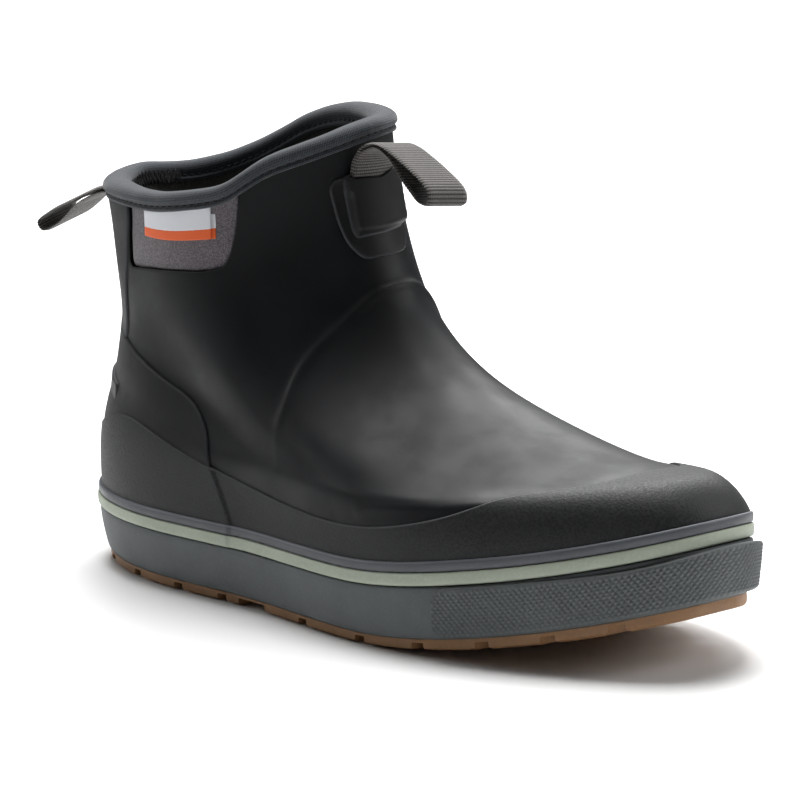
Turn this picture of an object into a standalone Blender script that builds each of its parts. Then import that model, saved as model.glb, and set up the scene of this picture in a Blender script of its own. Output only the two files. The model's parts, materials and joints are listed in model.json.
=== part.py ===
"""A pull-on rubber deck boot for the right foot, ankle height, built up in layers on one surface.

The toe points to +X, the outer side of the foot is -Y and the boot stands on z = 0. Dimensions are in
millimetres and are turned into metres once, where a mesh is made. The boot surface is a stack of rings
from the top of the sole (v = 0) to the collar (v = 1). Each ring is walked by an angle that is 0 at the
toe, 90 at the outer side, 180 at the heel and negative on the inner side. Every shell, overlay and
lining is a set of cells on one lattice over that surface, between two depths off it.
"""

import bpy
import bmesh
import numpy as np

MM = 0.001
CLEARANCE = 0.35

# One row per ring, sole to collar: heel x, heel z, toe x, toe z, outer dip, inner dip,
# then half widths at the heel, the waist, the ball and the toe.
RINGS = np.array(
    [
        (-148.6, 30.3, 145.5, 31.8, 0, 0, 58, 49, 62, 60),
        (-149.4, 47.3, 141.5, 44.3, 3, 3, 58, 49, 62, 59),
        (-148.4, 61.3, 132, 56, 6, 6, 57, 49, 61, 57),
        (-145, 75.3, 112, 61.8, 10, 10, 55, 47, 58.5, 54),
        (-142, 89.3, 71, 72.5, 12, 12, 52, 44, 54, 51),
        (-140, 102.3, 32, 86, 13, 12, 48, 43, 49, 45),
        (-141, 115.3, 3, 107.3, 11, 8, 45, 43, 46, 41),
        (-143.5, 125.3, -11, 134.3, 6, 2, 43, 43, 44, 40),
        (-146, 135.3, -16, 157.3, 3, 0, 42, 43, 43, 40),
        (-149, 145.3, -18, 178.3, 0, 0, 42, 43, 43, 41),
    ],
    float,
)
WIDTH_STATIONS = np.array([0.0, 0.15, 0.40, 0.70, 1.0])
INNER_SIDE_WIDTH = np.array([1.0, 0.98, 0.74, 0.85, 0.95])
BLUNTNESS = 0.8  # under 1 makes the heel and the toe of the sole rounder than an ellipse
TOE_SWING = 13.0  # how far the toe end of the sole lies towards the inner side

# Collar edge height by angle: the outer side dips over the stretch panel.
RIM_ANGLE = np.array([-180, -146, -131, -113, -95, -75, -45, -20, 0, 22, 37, 51, 62, 75, 90, 120, 150, 180.0])
RIM_HEIGHT = np.array(
    [148.3, 149.3, 153.2, 161.2, 171, 176.6, 178, 178.3, 177.3, 172.8, 168.3, 162.3, 154.8, 150.8, 148.3, 147.6, 147, 148.3]
)
BINDING_ROLL = 1.8  # the binding stands this far above the collar edge
BINDING_LEG = 4.0

# Sole: heights of the layers at the heel, and the lift of the toe.
TREAD_TOP = 3.9
SIDEWALL = (4.2, 21.7)
PALE_STRIPE = (22.0, 26.4)
DARK_STRIPE = (26.7, 30.1)
SOLE_TOP = 30.3
SOLE_GROWTH = 1.5  # the stack is this much thicker at the toe
FOREFOOT_GROWTH = 1.9  # and this much more in front of the arch
TOE_LIFT = 20.4
TOE_LIFT_START = 26.5
TOE_LIFT_LENGTH = 120.0
TOE_LIFT_POWER = 1.85
WALL_OUT = 2.2  # how far the sidewall stands off the foot line at its top
WALL_TAPER = (3.4, 1.4)  # how far it draws in towards the tread, at the heel and at the toe
BUMPER_OUT = (1.3, 3.3)  # thickness of the toe bumper at its ends and at the toe
BUMPER_END = 60  # angle of the bumper's ends
TREAD_INSET = 0.4  # the tread's edge lies this far inside the foot of the sidewall
GROOVE_DEPTH = 3.0
GROOVE_WIDTH = 4.6
GROOVES = (-125.0, -99.0, -72.0, -47.5, 1.0, 34.0, 61.0, 85.5, 107.5, 128.0)  # middle of each cross groove
ARCH_GAP = (-38.0, -23.0)
TREAD_MARGIN = 2.0  # the tread's ends stop this far short of the heel and the toe

# Depths off the surface, (inner, outer).
RUBBER = (-3.5, 0.0)
LINING = (-6.4, -3.9)
STIFFENER = (-5.1, -3.9)
STIFFENER_ROOM = 1.6
OVERLAY = (CLEARANCE, 1.3)
PANEL = (-3.0, -1.2)
LABEL = (-0.85, -0.35)
STRAP_TAIL = (1.65, 3.0)
LUG = (1.65, 4.4)
COVER_EDGE = (1.65, 2.3)
COVER_CROWN = (3.35, 4.3)

# Pull loops: centre lines in the x-z plane, from the root over the top to the tip and back under.
STRAP_WIDTH = 20.0
STRAP_THICKNESS = 1.0
FRONT_LOOP = [
    (-13.3, 162.7), (-12.6, 165.9), (-10.9, 169.2), (-8.0, 171.3), (-4.0, 171.8), (0.5, 170.7), (5.5, 168.5),
    (11.0, 166.3), (17.0, 163.6), (22.2, 160.2), (24.4, 155.9), (22.6, 152.3), (18.4, 152.3), (14.0, 155.2),
    (10.2, 159.1), (6.6, 163.5), (3.2, 166.9), (-0.8, 169.1), (-4.6, 170.0), (-7.6, 169.4), (-9.8, 167.3),
    (-11.0, 164.5), (-11.8, 162.5),
]
REAR_LOOP = [
    (-153.3, 139.7), (-157.6, 139.9), (-163.0, 138.4), (-170.5, 135.6), (-180.0, 131.9), (-189.0, 128.5),
    (-195.4, 125.3), (-198.4, 122.3), (-196.2, 119.5), (-191.2, 119.1), (-185.8, 121.3), (-180.8, 124.7),
    (-176.2, 128.5), (-170.3, 132.4), (-164.2, 135.5), (-158.6, 137.2), (-154.2, 137.5),
]

# Lattice columns, degrees from the toe on either side.
COLUMNS = (0, 7, 14, 17.5, 23, 32, 42, 51, 60, 69, 78, 87, 97, 106, 118, 130, 140, 148, 157, 166, 173, 180)
# Lattice rows that an edge follows: (angle, v) along each.
MUDGUARD_TOP = (
    (0, 0.33), (30, 0.292), (45, 0.247), (55, 0.18), (65, 0.135), (78, 0.113), (99, 0.145), (115, 0.212),
    (131, 0.27), (142, 0.235), (155, 0.165), (180, 0.15),
)
SEAM = (
    (0, 0.713), (16, 0.71), (34, 0.677), (54, 0.61), (68, 0.53), (82, 0.44), (97, 0.41), (108, 0.45),
    (122, 0.495), (140, 0.515), (180, 0.53),
)
PANEL_FOOT = ((0, 0.775), (23, 0.775), (45, 0.795), (60, 0.81), (90, 0.81), (118, 0.78), (148, 0.70), (180, 0.70))
PATCH_HEAD = ((0, 0.905), (23, 0.905), (60, 0.955), (106, 0.95), (148, 0.905), (180, 0.905))
ROW_BOTTOM, ROW_SOLE, ROW_MUDGUARD, ROW_SEAM, ROW_PANEL, ROW_HEAD, ROW_BINDING, ROW_RIM = 0, 1, 4, 9, 12, 15, 16, 17

COLOURS = {
    "upper_rubber": ((0.017, 0.018, 0.020), 0.45),
    "overlay_rubber": ((0.022, 0.023, 0.025), 0.6),
    "sidewall_rubber": ((0.091, 0.103, 0.107), 0.6),
    "dark_stripe": ((0.076, 0.080, 0.089), 0.55),
    "pale_stripe": ((0.376, 0.413, 0.328), 0.55),
    "gum_rubber": ((0.262, 0.122, 0.048), 0.6),
    "neoprene": ((0.098, 0.089, 0.102), 0.9),
    "binding_tape": ((0.061, 0.067, 0.073), 0.85),
    "webbing": ((0.114, 0.107, 0.100), 0.85),
    "lining_cloth": ((0.061, 0.064, 0.055), 0.95),
    "label_cloth": ((0.680, 0.700, 0.760), 0.8),
    "foam": ((0.150, 0.150, 0.150), 0.9),
    "board": ((0.400, 0.330, 0.220), 0.9),
}


def spline_basis(knots, x, flat_ends=False):
    """Cubic spline weights: each row gives the share of every knot's value at one x."""
    knots = np.asarray(knots, float)
    count, h = len(knots), np.diff(knots)
    left, right = np.zeros((count, count)), np.zeros((count, count))
    for i in range(1, count - 1):
        left[i, i - 1 : i + 2] = h[i - 1], 2 * (h[i - 1] + h[i]), h[i]
        right[i, i - 1 : i + 2] = 6 / h[i - 1], -6 / h[i - 1] - 6 / h[i], 6 / h[i]
    if flat_ends:
        left[0, :2], right[0, :2] = (2 * h[0], h[0]), (-6 / h[0], 6 / h[0])
        left[-1, -2:], right[-1, -2:] = (h[-1], 2 * h[-1]), (6 / h[-1], -6 / h[-1])
    else:
        left[0, 0] = left[-1, -1] = 1
    bend = np.linalg.solve(left, right)
    x = np.atleast_1d(np.asarray(x, float))
    k = np.clip(np.searchsorted(knots, x, side="right") - 1, 0, count - 2)
    t = (x - knots[k]) / h[k]
    s = 1 - t
    weights = ((s**3 - s) * h[k] ** 2 / 6)[:, None] * bend[k] + ((t**3 - t) * h[k] ** 2 / 6)[:, None] * bend[k + 1]
    weights[np.arange(len(x)), k] += s
    weights[np.arange(len(x)), k + 1] += t
    return weights


def along(table, angle):
    """The v of an edge at an angle, from its (angle, v) table, the same on both sides."""
    table = np.array(table, float)
    return spline_basis(table[:, 0], np.abs(angle), flat_ends=True) @ table[:, 1]


def toe_lift(x):
    return TOE_LIFT * (np.clip(x - TOE_LIFT_START, 0, None) / TOE_LIFT_LENGTH) ** TOE_LIFT_POWER


def smooth_step(t):
    t = np.clip(t, 0, 1)
    return t * t * (3 - 2 * t)


def forefoot(front):
    """0 behind the arch and 1 from the ball of the foot to the toe."""
    return smooth_step((front - 0.55) / 0.25)


def stack_scale(front):
    """How much thicker the sole is than at the heel."""
    return 1 + (SOLE_GROWTH * front + FOREFOOT_GROWTH * forefoot(front)) / SOLE_TOP


def rim_height(angle):
    """Height of the collar edge, with the table wrapped so that the heel is smooth."""
    knots = np.concatenate([RIM_ANGLE[-4:-1] - 360, RIM_ANGLE, RIM_ANGLE[1:4] + 360])
    heights = np.concatenate([RIM_HEIGHT[-4:-1], RIM_HEIGHT, RIM_HEIGHT[1:4]])
    return spline_basis(knots, angle) @ heights - BINDING_ROLL


def surface(angle, v):
    """Points of the boot surface, N x 3. Below v = 0 the surface drops straight to the sidewall."""
    angle, v = np.broadcast_arrays(np.atleast_1d(angle).astype(float), np.atleast_1d(v).astype(float))
    up = np.clip(v, 0, None)
    ring = spline_basis(np.linspace(0, 1, len(RINGS)), up) @ RINGS
    theta = np.radians(angle)
    front = (1 + np.cos(theta)) / 2
    side = np.sin(theta)
    side = np.sign(side) * np.abs(side) ** (BLUNTNESS + (1 - BLUNTNESS) * smooth_step(up / 0.5))
    shares = spline_basis(WIDTH_STATIONS, front, flat_ends=True)
    width = (shares * ring[:, [6, 6, 7, 8, 9]]).sum(1)
    inner = 1 - (1 - shares @ INNER_SIDE_WIDTH) * np.clip(1 - 1.3 * up, 0, 1)
    width = np.where(side < 0, width * inner, width)
    x = ring[:, 0] + (ring[:, 2] - ring[:, 0]) * front
    y = TOE_SWING * smooth_step((front - 0.45) / 0.55) * (1 - up) - width * side
    sole_top = ring[:, 1] + (ring[:, 3] - ring[:, 1]) * front
    straight = sole_top + FOREFOOT_GROWTH * forefoot(front) * np.clip(1 - 2.2 * up, 0, 1)
    dip = np.where(side > 0, ring[:, 4], ring[:, 5]) * np.sin(theta) ** 2
    collar = RINGS[-1, 1] + (RINGS[-1, 3] - RINGS[-1, 1]) * front
    near_rim = smooth_step((up - 0.55) / 0.45)
    z = straight - dip + near_rim * (rim_height(angle) - collar) + toe_lift(x) * np.clip(1 - 2.2 * up, 0, 1)
    skirt = (SOLE_TOP - SIDEWALL[1] - 0.4) * stack_scale(front)
    return np.stack([x, y, z + np.clip(v, -1, 0) * skirt], axis=1)


def normal(angle, v):
    """Outward unit normals of the boot surface. They are level below v = 0."""
    step = 0.004
    across = surface(np.add(angle, 0.3), v) - surface(np.subtract(angle, 0.3), v)
    up = surface(angle, np.clip(v, 0, 1 - step) + step) - surface(angle, np.clip(v, step, 1) - step)
    up[np.broadcast_to(v, len(up)) < 0] = (0, 0, 1)
    out = np.cross(up, across)
    return out / np.linalg.norm(out, axis=1)[:, None]


def offset_surface(angle, v, depth):
    return surface(angle, v) + normal(angle, v) * np.reshape(depth, (-1, 1))


def column_angles():
    """Angles of the lattice columns, once round from the toe by the outer side."""
    return np.array(list(COLUMNS) + [-a for a in COLUMNS[-2:0:-1]], float)


ANGLES = column_angles()


def lattice_rows():
    """v of each lattice row at each column: the edges, with even rows between them."""
    mudguard, seam = along(MUDGUARD_TOP, ANGLES), along(SEAM, ANGLES)
    panel, head = along(PANEL_FOOT, ANGLES), along(PATCH_HEAD, ANGLES)
    rise = np.linalg.norm(surface(ANGLES, 1.0) - surface(ANGLES, 0.95), axis=1) / 0.05
    binding = 1 - (BINDING_LEG + 0.5) / rise
    rows = [np.full(len(ANGLES), -1.0), np.zeros(len(ANGLES))]
    for low, high, steps in ((0 * seam, mudguard, 3), (mudguard, seam, 5), (seam, panel, 3), (panel, head, 3)):
        rows += [low + (high - low) * k / steps for k in range(1, steps + 1)]
    rows += [binding, np.ones(len(ANGLES))]
    return np.stack(rows, axis=1)


ROWS = lattice_rows()


def cells(low_row, high_row, from_angle=0, to_angle=180, sides=(1, -1)):
    """The lattice cells between two rows and two angles from the toe, as a mask of columns by rows."""
    mask = np.zeros((len(ANGLES), ROW_RIM), bool)
    ahead = np.roll(ANGLES, -1)
    for i, (a, b) in enumerate(zip(ANGLES, ahead)):
        side = 1 if (a + b > 0 and b >= 0) or b == 180 else -1
        low, high = sorted((abs(a), abs(b)))
        if side in sides and low >= from_angle and high <= to_angle:
            mask[i, low_row:high_row] = True
    return mask


def make(name, points, faces, material):
    """A closed mesh object from points in millimetres, with its faces turned outward."""
    mesh = bpy.data.meshes.new(name)
    mesh.from_pydata((np.asarray(points) * MM).tolist(), [], [list(map(int, face)) for face in faces])
    tidy = bmesh.new()
    tidy.from_mesh(mesh)
    loose = [vert for vert in tidy.verts if not vert.link_faces]
    bmesh.ops.delete(tidy, geom=loose, context="VERTS")
    bmesh.ops.recalc_face_normals(tidy, faces=tidy.faces)
    bmesh.ops.triangulate(tidy, faces=tidy.faces)
    tidy.to_mesh(mesh)
    tidy.free()
    mesh.shade_smooth()
    mesh.set_sharp_from_angle(angle=0.7)
    mesh.materials.append(bpy.data.materials[material])
    obj = bpy.data.objects.new(name, mesh)
    bpy.context.scene.collection.objects.link(obj)
    return obj


def rim_edges(mask):
    """Directed edges round a mask's border, each with the cell that it belongs to."""
    edges = {}
    for i, j in zip(*np.nonzero(mask)):
        nxt = (i + 1) % len(ANGLES)
        corners = [(i, j), (nxt, j), (nxt, j + 1), (i, j + 1)]
        for a, b in zip(corners, corners[1:] + corners[:1]):
            edges[a, b] = corners
    return {edge: cell for edge, cell in edges.items() if edge[::-1] not in edges}


def pull_in(points, border, distance):
    """Moves a mask's border in over the surface, so that it keeps clear of the piece beside it."""
    pulls = {}
    for (a, b), cell in border.items():
        along_edge = points[b] - points[a]
        along_edge /= np.linalg.norm(along_edge)
        inward = np.mean([points[c] for c in cell], axis=0) - (points[a] + points[b]) / 2
        inward -= along_edge * (inward @ along_edge)
        inward /= np.linalg.norm(inward)
        pulls.setdefault(a, []).append(inward)
        pulls.setdefault(b, []).append(inward)
    moved = points.copy()
    for corner, found in pulls.items():
        moved[corner] += sum(found) * distance / (1 + found[0] @ found[1])
    return moved


def shell(name, mask, depths, material, inset=0.0):
    """A skin over the masked cells, from the first depth off the surface to the second."""
    shape = ROWS.shape
    angle = np.repeat(ANGLES, shape[1])
    base = surface(angle, ROWS.ravel()).reshape(shape + (3,))
    out = normal(angle, ROWS.ravel()).reshape(shape + (3,))
    border = rim_edges(mask)
    if inset:
        base = pull_in(base, border, inset)
    inner, outer = (base + out * np.broadcast_to(depth, shape)[..., None] for depth in depths)
    count = shape[0] * shape[1]
    points = np.concatenate([outer.reshape(-1, 3), inner.reshape(-1, 3)])
    faces = []
    for i, j in zip(*np.nonzero(mask)):
        nxt = (i + 1) % shape[0]
        quad = [i * shape[1] + j, nxt * shape[1] + j, nxt * shape[1] + j + 1, i * shape[1] + j + 1]
        faces += [quad, [count + k for k in reversed(quad)]]
    for (a, b) in border:
        first, second = a[0] * shape[1] + a[1], b[0] * shape[1] + b[1]
        faces.append([second, first, count + first, count + second])
    return make(name, points, faces, material)


def crowned(mask_columns, mask_rows):
    """Depths of a cover that stands off in the middle and comes down at its edges."""
    raised = np.zeros(ROWS.shape, bool)
    raised[np.ix_(np.nonzero(mask_columns)[0], mask_rows)] = True
    return tuple(np.where(raised, crown, edge) for edge, crown in zip(COVER_EDGE, COVER_CROWN))


def sole_height(level, front, x):
    """World height of a level in the sole stack, at a place along the foot."""
    return toe_lift(x) + level * stack_scale(front)


def sole_outline(out, level, angles=None):
    """Points round the sole at a level, pushed outward in plan by a distance or by one for each angle."""
    angles = ANGLES if angles is None else angles
    edge = surface(angles, 0.0)
    tangent = surface(np.add(angles, 0.3), 0.0) - surface(np.subtract(angles, 0.3), 0.0)
    flat = np.stack([-tangent[:, 1], tangent[:, 0]], axis=1)
    flat /= -np.linalg.norm(flat, axis=1)[:, None]
    points = edge.copy()
    side = np.sign((flat * (edge[:, :2] + [10, 0])).sum(1))
    points[:, :2] += flat * (np.broadcast_to(out, len(angles)) * side)[:, None]
    points[:, 2] = sole_height(level, (1 + np.cos(np.radians(angles))) / 2, edge[:, 0])
    return points


def sweep(name, loops, material, closed=True):
    """A body from outline loops that run side by side round a section. An open one gets two end caps."""
    size, count = len(loops[0]), len(loops)
    points = np.concatenate(loops)
    faces = []
    for k in range(count):
        following = (k + 1) % count
        for i in range(size if closed else size - 1):
            j = (i + 1) % size
            faces.append([k * size + i, k * size + j, following * size + j, following * size + i])
    if not closed:
        faces.append([k * size for k in range(count)])
        faces.append([k * size + size - 1 for k in reversed(range(count))])
    return make(name, points, faces, material)


def sole_band(name, section, material):
    """A band round the sole. The section is a list of (distance out, level)."""
    return sweep(name, [sole_outline(out, level) for out, level in section], material)


def wall_out(angles, level):
    """How far the sidewall stands off the foot line at a level of the sole."""
    front = (1 + np.cos(np.radians(angles))) / 2
    taper = WALL_TAPER[0] + (WALL_TAPER[1] - WALL_TAPER[0]) * front
    low, high = SIDEWALL
    return WALL_OUT - taper * ((high - level) / (high - low)) ** 1.6


def sidewall(material):
    """The wall of the sole, which draws in towards the tread."""
    low, high = SIDEWALL
    levels = np.linspace(low, high, 4)
    loops = [sole_outline(wall_out(ANGLES, level), level) for level in levels]
    loops += [sole_outline(-3.1, high), sole_outline(-3.1, low)]
    sweep("sidewall", loops, material)


def toe_bumper(material):
    """A band on the sidewall round the toe, thickest at the toe. It stops short of the wall's top and foot."""
    columns = [a for a in COLUMNS if a <= BUMPER_END]
    angles = np.array([-a for a in columns[:0:-1]] + columns, float)
    ends, toe = BUMPER_OUT
    thick = ends + (toe - ends) * smooth_step(1 - np.abs(angles) / BUMPER_END)
    low, high = SIDEWALL
    loops = []
    for level, share in ((low + 0.4, 0.6), (low + 2, 0.9), (high - 4, 1.0), (high - 0.6, 0.8)):
        loops.append(sole_outline(wall_out(angles, level) + CLEARANCE + share * thick, level, angles))
    for level in (high - 0.6, high - 6, low + 6, low + 0.4):
        loops.append(sole_outline(wall_out(angles, level) + CLEARANCE, level, angles))
    sweep("toe_bumper", loops, material, closed=False)


def sole_plate(name, out, low, high, material):
    """A plate across the sole, with cross lines that join each column to its partner."""
    bottom, top = sole_outline(out, low), sole_outline(out, high)
    size = len(ANGLES)
    faces = []
    for i in range(size):
        j = (i + 1) % size
        faces.append([i, j, size + j, size + i])
    for i in range(size // 2):
        j = i + 1
        loop = [i, j, (size - j) % size, (size - i) % size]
        loop = list(dict.fromkeys(loop))
        faces += [loop, [size + k for k in reversed(loop)]]
    return make(name, np.concatenate([bottom, top]), faces, material)


def tread_stations():
    """(angle, depth) along the outsole, heel to toe, with a steep wall on each side of a groove or gap."""
    half, wall = GROOVE_WIDTH / 2, 0.4
    cuts = sorted([(x - half, x + half) for x in GROOVES] + [ARCH_GAP])
    heel, toe = RINGS[0, 0], RINGS[0, 2]
    stations = [(heel + TREAD_MARGIN, 0.0)]
    for start, end in cuts:
        stations += [(start, 0.0), (start + wall, GROOVE_DEPTH), (end - wall, GROOVE_DEPTH), (end, 0.0)]
    stations.append((toe - TREAD_MARGIN, 0.0))
    return [(np.degrees(np.arccos(2 * (x - heel) / (toe - heel) - 1)), depth) for x, depth in stations]


def outsole(material):
    """The tread: a plate whose underside is cut across by grooves and by the gap under the arch."""
    angles, depths = np.array(tread_stations()).T
    out = wall_out(angles, SIDEWALL[0]) - TREAD_INSET
    rows = [sole_outline(out, 0, side * angles) for side in (1, -1)]
    lower = [row + np.column_stack([0 * depths, 0 * depths, depths]) for row in rows]
    upper = [sole_outline(out, TREAD_TOP, side * angles) for side in (1, -1)]
    ring = [lower[0], lower[1], upper[1], upper[0]]
    return sweep("outsole", ring, material, closed=False)


def binding(material):
    """A tape folded over the collar edge: an outer leg, a rolled top and an inner leg."""
    section = [
        (1.5, -BINDING_LEG), (1.5, 0.0), (0.6, 1.2), (-1.2, BINDING_ROLL), (-5.2, BINDING_ROLL), (-7.0, 1.2),
        (-7.9, 0.0), (-7.9, -4.5), (-6.8, -4.5), (-6.8, CLEARANCE), (CLEARANCE, CLEARANCE), (CLEARANCE, -BINDING_LEG),
    ]
    rim, out = surface(ANGLES, 1.0), normal(ANGLES, 1.0)
    climb = (rim - surface(ANGLES, 0.96)) / 0.04
    rise = np.linalg.norm(climb, axis=1)
    upward = climb / rise[:, None]
    loops = []
    for depth, height in section:
        if height < 0:
            loops.append(offset_surface(ANGLES, 1 + height / rise, np.full(len(ANGLES), depth)))
        else:
            loops.append(rim + out * depth + upward * height)
    return sweep("collar_binding", loops, material)


def pull_loop(name, route, material, points_per_span=2):
    """A closed band of strap that follows a smooth ring through its route's points."""
    route = np.array(route, float)
    count = len(route)
    wrapped = np.concatenate([route[-3:], route, route[:4]])
    at = np.arange(0, count, 1 / points_per_span)
    knots = np.arange(-3, count + 4)
    line = spline_basis(knots, at) @ wrapped
    ahead = spline_basis(knots, at + 0.02) @ wrapped - line
    ahead /= np.linalg.norm(ahead, axis=1)[:, None]
    side = np.stack([-ahead[:, 1], ahead[:, 0]], axis=1) * STRAP_THICKNESS / 2
    corners = []
    for y, across in ((-1, -1), (1, -1), (1, 1), (-1, 1)):
        xz = line + side * across
        corners.append(np.column_stack([xz[:, 0], np.full(len(xz), y * STRAP_WIDTH / 2), xz[:, 1]]))
    return sweep(name, corners, material)


def make_materials():
    for name, (colour, roughness) in COLOURS.items():
        material = bpy.data.materials.new(name)
        material.use_nodes = True
        shader = material.node_tree.nodes["Principled BSDF"]
        shader.inputs["Base Color"].default_value = (*colour, 1)
        shader.inputs["Roughness"].default_value = roughness
        shader.inputs["Metallic"].default_value = 0.0


def build_sole():
    outsole("gum_rubber")
    sole_plate("midsole", -3.5, SIDEWALL[0], SIDEWALL[1] - 0.2, "foam")
    sidewall("sidewall_rubber")
    toe_bumper("sidewall_rubber")
    for name, (low, high), out, material in (
        ("foxing_stripe_pale", PALE_STRIPE, 2.0, "pale_stripe"),
        ("foxing_stripe_dark", DARK_STRIPE, 1.6, "dark_stripe"),
    ):
        sole_band(name, [(out, low), (out, high), (CLEARANCE, high), (CLEARANCE, low)], material)
    sole_plate("insole_board", -8.5, SIDEWALL[1] + 0.2, 23.9, "board")
    sole_plate("footbed", -9.5, 24.3, 29.3, "foam")


def build_upper():
    vamp = cells(ROW_BOTTOM, ROW_SEAM, 0, 97)
    panels = cells(ROW_PANEL, ROW_RIM, 60, 118)
    shell("vamp", vamp, RUBBER, "upper_rubber", CLEARANCE)
    shell("shaft", cells(ROW_BOTTOM, ROW_RIM) & ~vamp & ~panels, RUBBER, "upper_rubber")
    for name, side in (("neoprene_panel_lateral", 1), ("neoprene_panel_medial", -1)):
        shell(name, panels & cells(0, ROW_RIM, sides=(side,)), PANEL, "neoprene", CLEARANCE)
    shell("mudguard", cells(ROW_SOLE, ROW_MUDGUARD), OVERLAY, "overlay_rubber", CLEARANCE)
    shell("heel_counter", cells(ROW_MUDGUARD, ROW_SEAM, 106), OVERLAY, "overlay_rubber", CLEARANCE)
    shell("heel_stay", cells(ROW_SEAM, ROW_BINDING, 118), OVERLAY, "overlay_rubber", CLEARANCE)
    shell("kick_off_lug", cells(ROW_MUDGUARD + 1, ROW_MUDGUARD + 2, 148), LUG, "overlay_rubber", CLEARANCE)
    label = cells(ROW_HEAD - 1, ROW_HEAD, 69, 106, sides=(1,))
    shell("side_label", label, LABEL, "label_cloth", CLEARANCE)
    binding("binding_tape")


def build_linings():
    heel = (np.abs(ANGLES) >= 106)[:, None] & (np.arange(ROW_RIM + 1) <= ROW_SEAM - 1)
    toe = (np.abs(ANGLES) <= 51)[:, None] & (np.arange(ROW_RIM + 1) <= ROW_MUDGUARD + 1)
    room = np.where(heel | toe, STIFFENER_ROOM, 0.0)
    shell("lining", cells(ROW_BOTTOM, ROW_RIM), tuple(depth - room for depth in LINING), "lining_cloth")
    shell("heel_stiffener", cells(ROW_SOLE, ROW_SEAM - 2, 118), STIFFENER, "board")
    shell("toe_puff", cells(ROW_SOLE, ROW_MUDGUARD, 0, 42), STIFFENER, "board")


def build_loops():
    rows = np.arange(ROW_PANEL + 1, ROW_HEAD + 1)
    shell("front_anchor_patch", cells(ROW_PANEL, ROW_HEAD, 0, 23), OVERLAY, "overlay_rubber")
    pocket_depths = crowned(np.abs(ANGLES) <= 14, rows[1:])
    shell("front_loop_pocket", cells(ROW_PANEL + 1, ROW_HEAD, 0, 17.5), pocket_depths, "overlay_rubber")
    shell("front_loop_tail", cells(ROW_PANEL + 2, ROW_HEAD, 0, 14), STRAP_TAIL, "webbing")
    patch_depths = crowned(np.abs(ANGLES) >= 166, rows)
    shell("rear_anchor_patch", cells(ROW_PANEL, ROW_HEAD, 148), patch_depths, "overlay_rubber")
    shell("rear_loop_tail", cells(ROW_PANEL + 1, ROW_HEAD, 166), STRAP_TAIL, "webbing")
    pull_loop("front_pull_loop", FRONT_LOOP, "webbing")
    pull_loop("rear_pull_loop", REAR_LOOP, "webbing")


def centre_on_floor():
    """Moves every mesh so that the middle of the object's underside is the origin."""
    nodes = [obj for obj in bpy.context.scene.collection.objects if obj.type == "MESH"]
    every = np.concatenate([[vert.co[:] for vert in obj.data.vertices] for obj in nodes])
    low, high = every.min(axis=0), every.max(axis=0)
    shift = np.array([(low[0] + high[0]) / 2, (low[1] + high[1]) / 2, low[2]])
    for obj in nodes:
        for vert in obj.data.vertices:
            vert.co = [c - s for c, s in zip(vert.co, shift)]


for old in list(bpy.data.objects):
    bpy.data.objects.remove(old, do_unlink=True)
make_materials()
build_sole()
build_upper()
build_linings()
build_loops()
centre_on_floor()
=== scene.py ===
"""Looks of a pull-on rubber deck boot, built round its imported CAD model.

The toe points to +X and the outer side of the foot is -Y. Lengths are in millimetres in the boot's own frame,
and place() turns them into metres in the CAD frame. Like the CAD, the upper is a surface of rings from the top
of the sole (v = 0) to the collar (v = 1), walked by an angle that is 0 at the toe, 90 at the outer side, 180 at
the heel and negative on the inner side. Skins, overlays and linings are depths off that surface.
"""

import json
import math

import bmesh
import bpy
import numpy as np
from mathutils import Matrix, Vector
from mathutils.geometry import delaunay_2d_cdt


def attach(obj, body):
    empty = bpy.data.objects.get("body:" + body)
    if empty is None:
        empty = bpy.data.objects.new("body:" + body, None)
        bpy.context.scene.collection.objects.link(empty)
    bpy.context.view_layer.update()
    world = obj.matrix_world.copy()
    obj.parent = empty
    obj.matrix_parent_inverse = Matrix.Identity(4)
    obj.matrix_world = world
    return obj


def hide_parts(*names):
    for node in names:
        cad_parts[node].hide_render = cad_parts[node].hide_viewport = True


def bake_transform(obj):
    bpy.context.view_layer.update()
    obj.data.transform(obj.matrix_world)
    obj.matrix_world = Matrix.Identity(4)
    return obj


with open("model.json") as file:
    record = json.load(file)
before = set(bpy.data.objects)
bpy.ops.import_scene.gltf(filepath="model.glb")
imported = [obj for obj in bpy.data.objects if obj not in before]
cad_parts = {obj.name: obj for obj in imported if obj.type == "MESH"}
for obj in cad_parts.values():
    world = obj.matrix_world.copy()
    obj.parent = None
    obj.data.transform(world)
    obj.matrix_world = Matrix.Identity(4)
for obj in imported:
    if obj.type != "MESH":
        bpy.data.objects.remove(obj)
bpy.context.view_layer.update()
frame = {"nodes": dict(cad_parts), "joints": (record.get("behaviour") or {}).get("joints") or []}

MM = 0.001
# The front pull loop's hinge in the boot's own frame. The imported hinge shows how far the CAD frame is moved.
HINGE_HERE = np.array([-14.2, 0.0, 160.9])
hinge = next(joint for joint in frame["joints"] if joint["name"] == "front_loop_hinge")
SHIFT = np.array(hinge["pos_m"]) / MM - HINGE_HERE

# ---------------------------------------------------------------- the boot surface

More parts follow.
